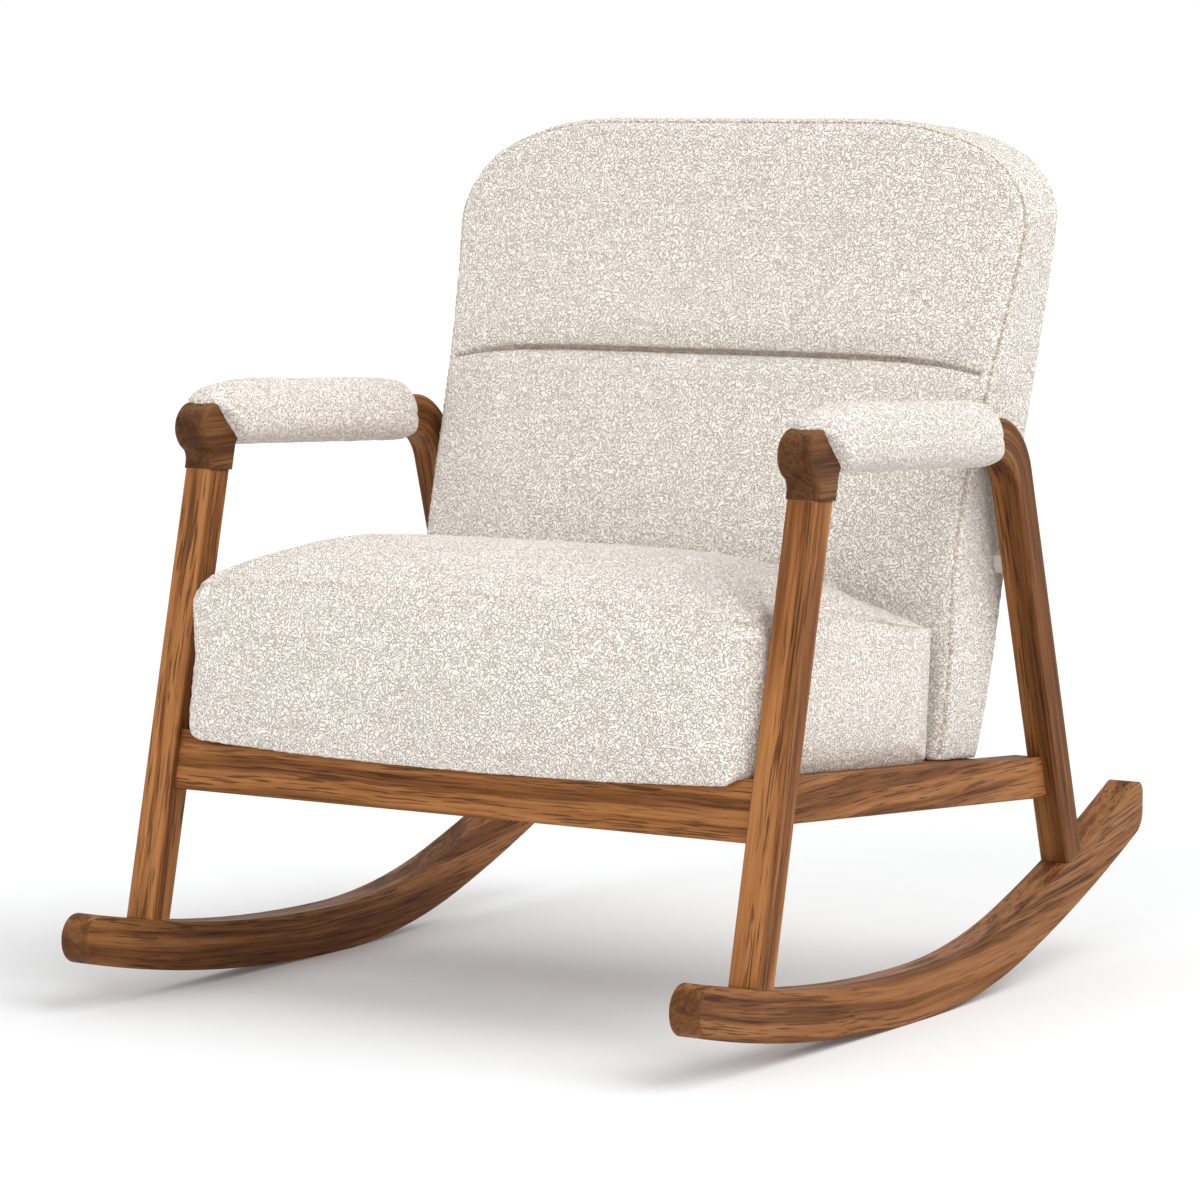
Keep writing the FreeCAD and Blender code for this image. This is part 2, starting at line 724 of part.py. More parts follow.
# Corner blocks with a screw up into the seat frame
blocks = []
block_screws = []
block_low = rail_top - block_height
front_rail_body = front_rail_section(-x_in, x_in, block_low - 1, rail_top + 1, front_rail_setback, front_rail_width)
front_line = front_leg_face(-1, block_low) + front_rail_setback
for side in (-1, 1):
    for y_wall, way in ((front_line, 1), (rear_rail_y, -1)):
        x_wall = side * rail_in
        corners = [V(x_wall, y_wall, block_low), V(x_wall - side * block_leg, y_wall, block_low),
                   V(x_wall, y_wall + way * block_leg, block_low)]
        block = Part.Face(Part.makePolygon(corners + [corners[0]])).extrude(V(0, 0, block_height))
        y_screw = rear_rail_y - block_screw_in
        if way > 0:
            block = block.cut(front_rail_body)
            block = max(block.Solids, key=lambda s: s.CenterOfMass.y)
            y_screw = block.BoundBox.YMin + block_screw_in
        base = V(x_wall - side * block_screw_in, y_screw, block_low)
        shank = rod(screw_diameter, block_height + cover_skin + screw_bite, base, UP)
        head = rod(screw_head, screw_head_height, base - UP * screw_head_height, UP)
        block_screws.append(head.fuse(shank).removeSplitter())
        blocks.append(block.cut(shank))
all_screws = Part.makeCompound(block_screws)
seat_cover = seat_cover.cut(all_screws)
for name in seat_boards:
    seat_boards[name] = seat_boards[name].cut(all_screws)

# Back unit: curved stiles, rails, webbing, rear panel, foam and cover
back_inside = back_loft(cover_skin, lining_places, lining_chords)
stile_low = rail_top + cover_skin
stile_high = back_top - stile_head
panel_skin = cover_skin + stile_rear_pad


def spine_strip(x0, x1, low, high, near, far):
    """Curved strip along the rear of the back, between two distances ahead of it."""
    middle = (low + high) / 2
    return slab(x0, x1, (spine_y(low) - near, low),
                [((spine_y(middle) - near, middle), (spine_y(high) - near, high)), (spine_y(high) - far, high),
                 ((spine_y(middle) - far, middle), (spine_y(low) - far, low))])


stile_near = panel_skin + panel_thickness
stile_far = stile_near + stile_depth
stile_out = back_half - stile_inset
stile_in = stile_out - stile_width
pin_y = rear_leg_face(0, pin_height)
pin_start = stile_out - pin_depth
pin_end = x_in + pin_depth
pin = rod(pin_diameter, pin_end - pin_start, V(pin_start, pin_y, pin_height), ACROSS)
spacer = rod(spacer_diameter, x_in - back_half, V(back_half, pin_y, pin_height), ACROSS).cut(pin)
stile = spine_strip(stile_in, stile_out, stile_low, stile_high, stile_near, stile_far).cut(pin)
rear_leg = rear_leg.cut(pin)
rail_far = stile_near + back_rail_depth
cross_lows = {
    "back_lower_rail": stile_low,
    "back_middle_rail": back_channel - back_rail_height / 2,
    "back_top_rail": stile_high - back_rail_height,
}
back_rails = {}
for name, low in cross_lows.items():
    back_rails[name] = spine_strip(-stile_in, stile_in, low, low + back_rail_height, stile_near, rail_far)
back_panel = spine_strip(-stile_out, stile_out, stile_low, stile_high, panel_skin, stile_near)
strap_far = stile_far + strap_thickness
back_span = stile_high - stile_low - back_strap_width
back_straps = []
for n in range(back_strap_count):
    low = stile_low + back_span * (n + 0.5) / back_strap_count
    back_straps.append(spine_strip(-stile_out, stile_out, low, low + back_strap_width, stile_far, strap_far))
behind = spine_strip(-x_out, x_out, rail_top - 1, back_top, -back_corner, strap_far)
back_foam = back_inside.cut(behind)
foam_box = back_foam.BoundBox
upper_half = box(-x_out, x_out, foam_box.YMin - 1, foam_box.YMax + 1, back_channel, back_top + 1)
back_foam_upper = back_foam.common(upper_half)
back_foam_lower = back_foam.cut(upper_half)
back_cover = back_loft(0.0, cover_places).cut(back_inside).cut(back_panel).cut(pin).cut(mirrored(pin))
back_cover = back_cover.cut(stile).cut(mirrored(stile))

# Screws from the rail below into the foot of the back
back_screws = []
screw_y = spine_y(stile_low) - stile_near - back_rail_depth / 2
for x in (-stile_in * 0.6, 0.0, stile_in * 0.6):
    base = V(x, screw_y, rail_bottom)
    shank = rod(screw_diameter, side_rail_height + cover_skin + screw_bite, base, UP)
    head = rod(screw_head, screw_head_height, base - UP * screw_head_height, UP)
    back_screws.append(head.fuse(shank).removeSplitter())
foot_screws = Part.makeCompound(back_screws)
back_rail = back_rail.cut(foot_screws)
back_cover = back_cover.cut(foot_screws)
back_rails["back_lower_rail"] = back_rails["back_lower_rail"].cut(foot_screws)

# Arm pads round the bar of each arm
pad_foam = pad_core()
arm_foam = pad_foam.cut(arm_rail).cut(rear_leg)
arm_cover = pad_loft().cut(pad_foam).cut(arm_rail).cut(rear_leg).cut(front_leg)

# Lean the level pieces and seat the feet on the runners
front_leg = lean(front_leg).cut(runner_zone).cut(front_tenon)
rear_leg = lean(rear_leg).cut(runner_zone).cut(rear_tenon)
runner_right = runner_right.cut(front_tenon).cut(rear_tenon)
foot_tenons = [front_tenon, rear_tenon, mirrored(front_tenon), mirrored(rear_tenon)]

nodes = {
    "front_rail": lean(front_rail),
    "rear_rail": lean(rear_rail),
    "back_support_rail": lean(back_rail),
    "corner_blocks": lean(Part.makeCompound(blocks)),
    "corner_screws": lean(all_screws),
    "seat_webbing": lean(Part.makeCompound(seat_straps)),
    "seat_foam": lean(seat_foam),
    "seat_cover": lean(seat_cover),
    "back_panel": lean(back_panel),
    "back_webbing": lean(Part.makeCompound(back_straps)),
    "back_foam_upper": lean(back_foam_upper),
    "back_foam_lower": lean(back_foam_lower),
    "back_cover": lean(back_cover),
    "back_screws": lean(foot_screws),
    "back_spacers": lean(Part.makeCompound([spacer, mirrored(spacer)])),
    "back_pins": lean(Part.makeCompound([pin, mirrored(pin)])),
    "arm_tenons": lean(Part.makeCompound([arm_tenon_loose, mirrored(arm_tenon_loose)])),
    "foot_tenons": Part.makeCompound(foot_tenons),
}
for name, board in list(seat_boards.items()) + list(back_rails.items()):
    nodes[name] = lean(board)
pairs = {
    "runner": runner_right,
    "front_leg": front_leg,
    "rear_leg": rear_leg,
    "arm_rail": lean(arm_rail),
    "side_rail": lean(side_rail),
    "back_stile": lean(stile),
    "arm_foam": lean(arm_foam),
    "arm_cover": lean(arm_cover),
}
for name, shape in pairs.items():
    nodes[name + "_right"] = shape
    nodes[name + "_left"] = mirrored(shape)

os.makedirs("parts", exist_ok=True)
for name, shape in nodes.items():
    shape.exportStep("parts/" + name + ".step")
    print(name, len(shape.Solids), shape.isValid(), round(shape.Volume / 1000, 1), "cm3")
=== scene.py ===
"""Looks for an upholstered rocking chair: stained wood, looped wool cushions and a plain studio."""
import math

import bpy
import numpy as np
from bpy.props import FloatProperty, FloatVectorProperty, IntProperty, PointerProperty
from mathutils import Matrix, Vector, kdtree, noise


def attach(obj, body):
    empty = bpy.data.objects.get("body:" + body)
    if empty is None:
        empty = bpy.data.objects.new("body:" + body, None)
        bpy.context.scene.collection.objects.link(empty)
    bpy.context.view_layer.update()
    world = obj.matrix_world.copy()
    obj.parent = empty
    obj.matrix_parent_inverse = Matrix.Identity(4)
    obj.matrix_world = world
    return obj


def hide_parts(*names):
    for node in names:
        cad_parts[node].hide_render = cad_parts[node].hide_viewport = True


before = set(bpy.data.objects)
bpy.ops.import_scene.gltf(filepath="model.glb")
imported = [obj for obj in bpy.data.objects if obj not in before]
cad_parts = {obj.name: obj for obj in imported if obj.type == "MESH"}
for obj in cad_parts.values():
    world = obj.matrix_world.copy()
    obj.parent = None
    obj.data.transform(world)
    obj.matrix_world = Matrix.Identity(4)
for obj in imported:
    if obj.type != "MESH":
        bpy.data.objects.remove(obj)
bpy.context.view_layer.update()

bl_info = {
    "name": "Upholstered Rocking Chair",
    "version": (1, 0, 0),
    "blender": (4, 5, 0),
    "location": "3D View > Sidebar > Rocking Chair",
    "description": "Dresses the packed rocking chair with wood finishes, cushions and a studio",
    "category": "Object",
}

# The chair was drawn level and then leaned back onto its runners
LEAN_ANGLE = math.radians(4.2)
LEAN_HEIGHT = 0.225
LEAN_SETBACK = -0.085
LEAN = (
    Matrix.Translation((0.0, LEAN_SETBACK, LEAN_HEIGHT))
    @ Matrix.Rotation(-LEAN_ANGLE, 4, "X")
    @ Matrix.Translation((0.0, 0.0, -LEAN_HEIGHT))
)
LEVEL = LEAN.inverted()

# Stained pieces by the way their grain runs: the turn that brings the grain upright, and a factor on their
# tones that is partly a tone of their own and partly painted shade, darkest on the arms and rear legs
FRONT_LEAN = math.radians(13.2)
REAR_LEAN = math.radians(-16.3)
WOOD_NODES = {
    "front_legs": (("front_leg_left", "front_leg_right"), (FRONT_LEAN, 0.0, 0.0), 0.98),
    "rear_legs": (("rear_leg_left", "rear_leg_right"), (0.0, 0.0, 0.0), 0.70),
    "arms": (("arm_rail_left", "arm_rail_right"), (math.pi / 2, 0.0, 0.0), 0.46),
    "side_rails": (("side_rail_left", "side_rail_right"), (math.pi / 2, 0.0, 0.0), 0.86),
    "cross_rails": (("front_rail", "rear_rail", "back_support_rail"), (0.0, -math.pi / 2, 0.0), 0.90),
    "runners": (("runner_left", "runner_right"), (math.pi / 2, 0.0, 0.0), 0.74),
}
# How far each next group of pieces is moved in the grain, and where the tones lie in it
GRAIN_SHIFT = (0.37, 0.23, 0.61)
GRAIN_STOPS = (0.22, 0.48, 0.78)
RUNNER_BOW = 0.27
# Middle of the rear elbow in the leaned chair, as depth and height, and the radius of its mid line
ELBOW = (0.115, 0.489)
ELBOW_RADIUS = 0.059
ARM_DIP = math.radians(2.6)
# Hidden frames: dark, middle and light tones of pine
PINE_TONES = ((0.34, 0.20, 0.10), (0.52, 0.36, 0.20), (0.64, 0.47, 0.29))

# Grids of the stuffed pieces: the smallest cell as a share of the full one, and how far it grows
EDGE_FINE, EDGE_REACH = 0.45, 0.05
CHANNEL_FINE, CHANNEL_REACH = 0.40, 0.045
PAD_FINE, PAD_REACH = 0.60, 0.02
PAD_CELL = 0.75
# Through the thickness of the back, as shares of it: the full and the smallest cell, and the reach
WALL_CELL, WALL_FINE, WALL_REACH = 0.09, 0.05, 0.3
NAP_CELL = 0.006
SEAM_GAP = 0.0015
# Each seam's width, its depth and how dark its painted shade is
SEAT_SEAM = (0.0016, 0.003, 1.0)
BACK_SEAM = (0.0016, 0.0018, 0.35)
CHANNEL_SEAM = (0.0020, 0.005, 1.0)
PAD_SEAM = (0.0020, 0.0022, 0.5)
# The furthest that stuffing moves the fabric
SEAT_SWELL = 0.009
BACK_SWELL = 0.008
PAD_SWELL = 0.004

# Seat: how it differs from the CAD cover's box, and its radii on the low and the high sides
SEAT_DROP = 0.006
SEAT_SIDE_GAP = 0.002
SEAT_LENGTH_GAP = 0.010
SEAT_REAR_GAP = 0.001
SEAT_CROWN_GAP = 0.004
SEAT_RADII = ((0.026, 0.026, 0.016), (0.026, 0.030, 0.008))
# Powers that shape the crown towards the sides and the front
SEAT_SIDE_POWER = 6.0
SEAT_FRONT_POWER = 5.0
# The rear of the top under the back: where it starts, its rise, its fall at the sides and its reach
TUCK_START = 0.1
TUCK_RISE = 0.058
TUCK_POWER = 1.9
TUCK_SINK = 0.008
TUCK_REACH = 0.010
FRONT_BULGE = 0.008
# The seat hangs over the front rail: level depth of its lip's start, its drop and the lengths of that
RAIL_FRONT = -0.2065
SEAT_LIP = 0.015
SEAT_LIP_RUN = 0.008
SEAT_LIP_TOP = 0.031
SEAT_LIP_BAND = 0.030

# Side view of the back at its side seams, level, as (height, depth) in metres
BACK_FRONT = (
    (0.245, 0.158), (0.350, 0.173), (0.440, 0.183), (0.500, 0.191), (0.560, 0.206), (0.636, 0.229),
    (0.700, 0.244), (0.740, 0.252), (0.770, 0.257), (0.800, 0.261), (0.840, 0.266), (0.890, 0.271),
)
BACK_REAR = (
    (0.242, 0.244), (0.317, 0.263), (0.407, 0.285), (0.500, 0.306), (0.560, 0.316), (0.636, 0.323),
    (0.700, 0.325), (0.770, 0.328), (0.820, 0.331), (0.890, 0.335),
)
# Half width of the back by height: it flares above the arms
BACK_HALF = (
    (0.245, 0.318), (0.400, 0.318), (0.500, 0.318), (0.570, 0.321), (0.636, 0.326), (0.700, 0.334),
    (0.740, 0.337), (0.800, 0.342), (0.890, 0.3495),
)
PROFILE_DEGREE = 5
BACK_WIDE = BACK_HALF[0][1]
BACK_GAP = 0.001
BACK_RADIUS = 0.015
# Thickness of the back at its bottom and top, for the run of its edge rounding
BACK_DEPTH = (0.088, 0.048)
REAR_BULGE = 0.006
REAR_POWER = 3
# The upper corners: share of the reach at the front, and what reach, height and top line lose at the rear
CORNER_REACH = 0.95
CORNER_REACH_LOSS = 0.12
CORNER_LOSS = 0.15
TOP_LOSS = 0.003
# The sewn channel's drop at the sides, its held band in cells, and where its line is looked for
CHANNEL_DROP = 0.014
CHANNEL_POWER = 6
CHANNEL_BAND = 0.45
CHANNEL_INSET = 0.008
CHANNEL_POINTS = 160
FRONT_FACING = -0.2
# Each bolster: how far it stands out, the run of its rounding at the channel, its loss at the far end
LOWER_BOLSTER = (0.018, 0.020, 0.55)
UPPER_BOLSTER = (0.023, 0.036, 0.60)
BOLSTER_POWER = 1.6
BOLSTER_SPREAD = 3.2
# Height above the bottom of the point that the edge seams go round
HOOP_HEIGHT = 0.2
# One stitch: place along the seam and lift of each ring, and the thread's size
STITCH_ARCH = (
    (-0.0024, -0.0006), (-0.0016, 0.0002), (0.0, 0.0004), (0.0016, 0.0002), (0.0024, -0.0006))
STITCH_AIM = 2
STITCH_LIFT = 0.0002
THREAD_RADIUS = 0.0006
THREAD_SIDES = 6

# The arms climb a little towards the back
ARM_SLOPE = math.tan(math.radians(1.6))
ARM_START = -0.150
# Level heights of the pad's front tip and of its rest on the wood, and the lengths of lip and slant
PAD_TIP = 0.571
PAD_REST = 0.562
PAD_LIP = 0.006
PAD_SLANT = 0.040
# Rounding of the pad on its low and high sides, in plan at the front, and along the top
PAD_TRIM = 0.002
PAD_RADII = ((0.030, 0.022, 0.016), (0.030, 0.030, 0.040))
PAD_NOSE = 0.085
PAD_TAPER = 0.060
PAD_TIP_WIDTH = 0.56
PAD_ARCH = 0.007
PAD_ARCH_POWER = 2.4
PAD_TOP_GAP = 0.004
PAD_SEAM_LIFT = 0.005

# Stage: where the lamps stand, half the floor's width, its own glow and the camera's sensor in millimetres
KEY_SIDE = (0.64, 0.16, 0.75)
FILL_SIDE = (0.05, -0.90, 0.44)
LAMP_DISTANCE = 3.0
FLOOR_SPAN = 60.0
FLOOR_GLOW = 0.06
SENSOR_WIDTH = 36.0
WHITE = (1.0, 1.0, 1.0, 1.0)

# What like properties share
COLOUR = {"subtype": "COLOR", "size": 3, "min": 0.0, "max": 1.0}
LENGTH = {"subtype": "DISTANCE", "unit": "LENGTH"}
PLACE = {"subtype": "TRANSLATION", "unit": "LENGTH", "size": 3}


class RockerWood(bpy.types.PropertyGroup):
    """Colours and scale of the stained wood."""
    light: FloatVectorProperty(
        name="Light grain", description="Colour of the pale grain",
        default=(0.480, 0.205, 0.066), **COLOUR)
    middle: FloatVectorProperty(
        name="Middle grain", description="Colour of most of the wood",
        default=(0.295, 0.110, 0.030), **COLOUR)
    dark: FloatVectorProperty(
        name="Dark grain", description="Colour of the dark streaks and pores",
        default=(0.085, 0.028, 0.008), **COLOUR)
    roughness: FloatProperty(
        name="Sheen roughness", description="Roughness of the satin finish", subtype="FACTOR",
        min=0.0, max=1.0, default=0.48)
    # Its radius rounds the shading of the edges and sets the width of the painted highlight along them
    edge: FloatProperty(
        name="Softened edge", description="Radius to which the edges look rubbed",
        min=0.0, max=0.02, default=0.004, **LENGTH)


class RockerFabric(bpy.types.PropertyGroup):
    """Colours and scale of the looped wool fabric."""
    loop_colour: FloatVectorProperty(
        name="Loops", description="Colour of the raised loops",
        default=(0.950, 0.888, 0.815), **COLOUR)
    # Painted shade: the gap colour stands in for the shade deep between the loops
    gap_shade_colour: FloatVectorProperty(
        name="Gaps", description="Colour deep between the loops",
        default=(0.560, 0.435, 0.325), **COLOUR)
    loop_size: FloatProperty(
        name="Loop size", description="Spacing of the loops",
        min=0.001, max=0.02, default=0.0033, **LENGTH)
    nap: FloatProperty(
        name="Nap", description="How far the loops lift the surface",
        min=0.0, max=0.005, default=0.0007, **LENGTH)
    bump: FloatProperty(
        name="Loop relief", description="Depth of the loops in the bump",
        min=0.0, max=0.01, default=0.0016, **LENGTH)


class RockerCushions(bpy.types.PropertyGroup):
    """Sizes of the stuffed pieces."""
    seam_height: FloatProperty(
        name="Seat seam height", description="Level height of the seam round the seat top",
        min=0.2, max=0.6, default=0.381, **LENGTH)
    channel_height: FloatProperty(
        name="Channel height", description="Level height of the channel sewn across the back",
        min=0.4, max=0.8, default=0.636, **LENGTH)
    back_corner: FloatProperty(
        name="Back corner", description="Height over which the upper corners of the back are rounded",
        min=0.02, max=0.25, default=0.116, **LENGTH)
    back_corner_reach: FloatProperty(
        name="Back corner reach", description="Width over which the upper corners of the back are rounded",
        min=0.02, max=0.30, default=0.190, **LENGTH)
    back_top: FloatProperty(
        name="Back top", description="Level height of the top of the back",
        min=0.6, max=1.2, default=0.876, **LENGTH)
    cell: FloatProperty(
        name="Cloth cell", description="Grid spacing of the fabric before it is stuffed",
        min=0.003, max=0.02, default=0.0065, **LENGTH)
    pressure: FloatProperty(
        name="Stuffing", description="Pressure of the stuffing in the cloth simulation",
        min=0.0, max=20.0, default=4.0)
    frames: IntProperty(
        name="Stuffing steps", description="Frames for which the cloth is stuffed",
        min=1, max=60, default=20)
    stitch_pitch: FloatProperty(
        name="Stitch pitch", description="Spacing of the stitches on the back",
        min=0.002, max=0.03, default=0.0075, **LENGTH)


class RockerStage(bpy.types.PropertyGroup):
    """Light, floor and camera."""
    floor_colour: FloatVectorProperty(
        name="Floor", description="Colour of the pale floor",
        default=(0.853, 0.860, 0.866), **COLOUR)
    sky: FloatProperty(
        name="Room light", description="Strength of the light from all round",
        min=0.0, max=4.0, default=0.62)
    key: FloatProperty(
        name="Key light", description="Strength of the soft lamp from above and the right",
        min=0.0, max=20.0, default=1.80)
    fill: FloatProperty(
        name="Fill light", description="Strength of the soft lamp from the front",
        min=0.0, max=20.0, default=1.00)
    softness: FloatProperty(
        name="Softness", description="Angle that the lamps fill, as seen from the chair",
        subtype="ANGLE", unit="ROTATION", min=0.0, max=math.pi, default=math.radians(55.0))
    eye: FloatVectorProperty(
        name="Camera", description="Place of the camera",
        default=(2.5797, -4.0652, 0.8844), **PLACE)
    target: FloatVectorProperty(
        name="Look at", description="Point at the middle of the picture",
        default=(0.0184, -0.0670, 0.3871), **PLACE)
    lens: FloatProperty(
        name="Lens", description="Focal length in millimetres on a 36 mm sensor",
        min=10.0, max=400.0, default=146.58)


# Node helpers

def plug(node, inputs):
    """Gives a node's inputs what they take: a socket is linked, anything else is a plain value."""
    for key, value in inputs.items():
        if isinstance(value, bpy.types.NodeSocket):
            node.id_data.links.new(value, node.inputs[key])
        else:
            node.inputs[key].default_value = value


def add_node(tree, kind, inputs=None, **settings):
    """One shader node with its settings and inputs."""
    node = tree.nodes.new("ShaderNode" + kind)
    for key, value in settings.items():
        setattr(node, key, value)
    plug(node, inputs or {})
    return node


def maths(operation, *values):
    """The output of one Math node; each value is a socket or a number."""
    tree = next(value.id_data for value in values if isinstance(value, bpy.types.NodeSocket))
    return add_node(tree, "Math", dict(enumerate(values)), operation=operation).outputs[0]


def ranged(value, low, high, to_low=0.0, to_high=1.0, kind="SMOOTHSTEP"):
    """A value moved from one range to another and held there."""
    return add_node(value.id_data, "MapRange", {0: value, 1: low, 2: high, 3: to_low, 4: to_high},
                    interpolation_type=kind).outputs[0]


def blended(factor, *colours):
    """Two colours mixed; each is a socket or a colour."""
    first, second = (
        colour if isinstance(colour, bpy.types.NodeSocket) else (*colour[:3], 1.0) for colour in colours)
    return add_node(factor.id_data, "Mix", {0: factor, 6: first, 7: second}, data_type="RGBA").outputs[2]


def scaled(values, times):
    """A colour or a place times a number."""
    return tuple(times * value for value in values)


def noisy(vector, scale, detail=2.0, roughness=0.5, output=0):
    """A noise texture."""
    return add_node(vector.id_data, "TexNoise", {
        "Vector": vector, "Scale": scale, "Detail": detail, "Roughness": roughness}).outputs[output]


def stretched(vector, share):
    """The vector with its Z cut to a share, which draws a texture out that way."""
    return add_node(vector.id_data, "Mapping", {"Vector": vector, "Scale": (1.0, 1.0, share)}).outputs[0]


def swayed(vector, scale, reach):
    """The vector pushed about by a noise."""
    tree = vector.id_data
    push = noisy(vector, scale, 1.0, output="Color")
    push = add_node(tree, "VectorMath", {0: push, "Scale": reach}, operation="SCALE").outputs[0]
    return add_node(tree, "VectorMath", {0: vector, 1: push}, operation="ADD").outputs[0]


def split(vector):
    """The three parts of a vector."""
    return add_node(vector.id_data, "SeparateXYZ", {0: vector}).outputs[:]


def joined(*parts):
    """A vector made of three parts."""
    return add_node(parts[0].id_data, "CombineXYZ", dict(enumerate(parts))).outputs[0]


def bumped(height, strength, distance, **more):
    """The normal with a relief."""
    return add_node(height.id_data, "Bump", {
        "Height": height, "Strength": strength, "Distance": distance, **more}).outputs[0]


def seen_ray(tree):
    """One for rays that show a surface to the camera, straight or in a gloss, and zero for other light."""
    ray = add_node(tree, "LightPath").outputs
    seen = maths("MAXIMUM", ray["Is Camera Ray"], ray["Is Glossy Ray"])
    return maths("MAXIMUM", seen, ray["Is Transmission Ray"])


def new_group(name, values, outputs):
    """A node group that takes a vector and named numbers: its tree, what it takes and its end node."""
    tree = bpy.data.node_groups.new(name, "ShaderNodeTree")
    tree.interface.new_socket("Vector", in_out="INPUT", socket_type="NodeSocketVector")
    for label, value in values.items():
        socket = tree.interface.new_socket(label, in_out="INPUT", socket_type="NodeSocketFloat")
        socket.default_value = value
    for label in outputs:
        tree.interface.new_socket(label, in_out="OUTPUT", socket_type="NodeSocketFloat")
    return tree, tree.nodes.new("NodeGroupInput").outputs, tree.nodes.new("NodeGroupOutput")


def grain_group():
    """Wood grain that runs along the Z axis of its vector."""
    name = "wood_grain"
    if name in bpy.data.node_groups:
        return bpy.data.node_groups[name]
    tree, start, end = new_group(name, {"Rings": 4.0, "Pores": 1.0}, ("Tone", "Pores", "Height"))
    wavy = swayed(start["Vector"], 6.0, 0.010)
    long = stretched(wavy, 0.030)
    band = noisy(long, 46.0, 2.0, 0.55)
    fibre = noisy(long, 300.0, 3.0, 0.6)
    turns = maths("MULTIPLY", band, start["Rings"])
    wave = maths("SINE", maths("MULTIPLY", turns, 2 * math.pi))
    rings = maths("MULTIPLY_ADD", wave, 0.5, 0.5)
    tone = maths("MULTIPLY_ADD", ranged(band, 0.3, 0.7), 0.30,
                 maths("MULTIPLY_ADD", rings, 0.16, maths("MULTIPLY", fibre, 0.54)))
    hole = noisy(stretched(wavy, 0.035), 480.0)
    patch = noisy(long, 30.0, 1.0)
    holes = maths("MULTIPLY", ranged(hole, 0.53, 0.63, 0.0, 0.70), ranged(patch, 0.26, 0.54))
    holes = maths("MULTIPLY", holes, start["Pores"])
    height = maths("SUBTRACT", maths("MULTIPLY", fibre, 0.5), holes)
    plug(end, {"Tone": tone, "Pores": holes, "Height": height})
    return tree


def loop_group():
    """Curled wool loops, as a height, a mask of the gaps between them and a broad mottle."""
    name = "wool_loops"
    if name in bpy.data.node_groups:
        return bpy.data.node_groups[name]
    tree, start, end = new_group(name, {"Loop Size": 0.0033, "Curl": 0.9}, ("Height", "Gap", "Mottle"))
    size = start["Loop Size"]
    pace = maths("DIVIDE", 1.0, size)
    curled = swayed(start["Vector"], maths("MULTIPLY", pace, 0.6), maths("MULTIPLY", size, 1.1))
    scale = maths("MULTIPLY", pace, start["Curl"])
    ridges = []
    for seed in (0.0, 7.3):
        field = add_node(tree, "TexNoise", {"Vector": curled, "Scale": scale, "Detail": 0.0, "W": seed},
                         noise_dimensions="4D").outputs[0]
        away = maths("ABSOLUTE", maths("SUBTRACT", field, 0.5))
        ridges.append(ranged(away, 0.0, 0.045))
    ridge = maths("MINIMUM", *ridges)
    knot = add_node(
        tree, "TexVoronoi", {"Vector": curled, "Scale": maths("MULTIPLY", pace, 2.2), "Smoothness": 0.4},
        feature="SMOOTH_F1").outputs[0]
    knob = maths("SUBTRACT", 1.0, knot)
    height = maths("MULTIPLY_ADD", ridge, 0.72, maths("MULTIPLY", knob, 0.28))
    mottle = ranged(noisy(start["Vector"], 34.0), 0.3, 0.7)
    plug(end, {"Height": height, "Gap": ranged(height, 0.46, 0.16), "Mottle": mottle})
    return tree


# Materials

def new_material(name):
    """An empty material, its tree, its Principled shader and the surface point."""
    material = bpy.data.materials.new(name)
    material.use_nodes = True
    tree = material.node_tree
    point = add_node(tree, "TexCoord").outputs["Object"]
    return material, tree, tree.nodes["Principled BSDF"], point


def bowed_point(point):
    """The point with the curve of a runner taken out."""
    x, y, z = split(point)
    lift = maths("MULTIPLY", maths("MULTIPLY", y, y), RUNNER_BOW)
    return joined(x, y, maths("SUBTRACT", z, lift))


def elbow_point(point):
    """The point with the bend of a rear leg's elbow taken out, so that the leg stands straight up."""
    x, y, z = split(point)
    y = maths("SUBTRACT", y, ELBOW[0])
    z = maths("SUBTRACT", z, ELBOW[1])

    def dot(vector):
        return maths("MULTIPLY_ADD", y, vector[0], maths("MULTIPLY", z, vector[1]))

    leg = (math.sin(-REAR_LEAN), -math.cos(REAR_LEAN))
    outward = (-leg[1], leg[0])
    arm = (-math.cos(ARM_DIP), math.sin(ARM_DIP))
    most = math.pi / 2 + REAR_LEAN - ARM_DIP
    down, out, ahead = dot(leg), dot(outward), dot(arm)
    turn = maths("ARCTAN2", maths("MULTIPLY", down, -1.0), out)
    turn = maths("MINIMUM", maths("MAXIMUM", turn, 0.0), most)
    down = maths("MAXIMUM", down, 0.0)
    ahead = maths("MAXIMUM", ahead, 0.0)
    run = maths("SUBTRACT", maths("MULTIPLY_ADD", turn, ELBOW_RADIUS, ahead), down)
    square = maths("ADD", maths("MULTIPLY", y, y), maths("MULTIPLY", z, z))
    for length in (down, ahead):
        square = maths("SUBTRACT", square, maths("MULTIPLY", length, length))
    across = maths("SQRT", maths("MAXIMUM", square, 0.0))
    return joined(x, across, run)


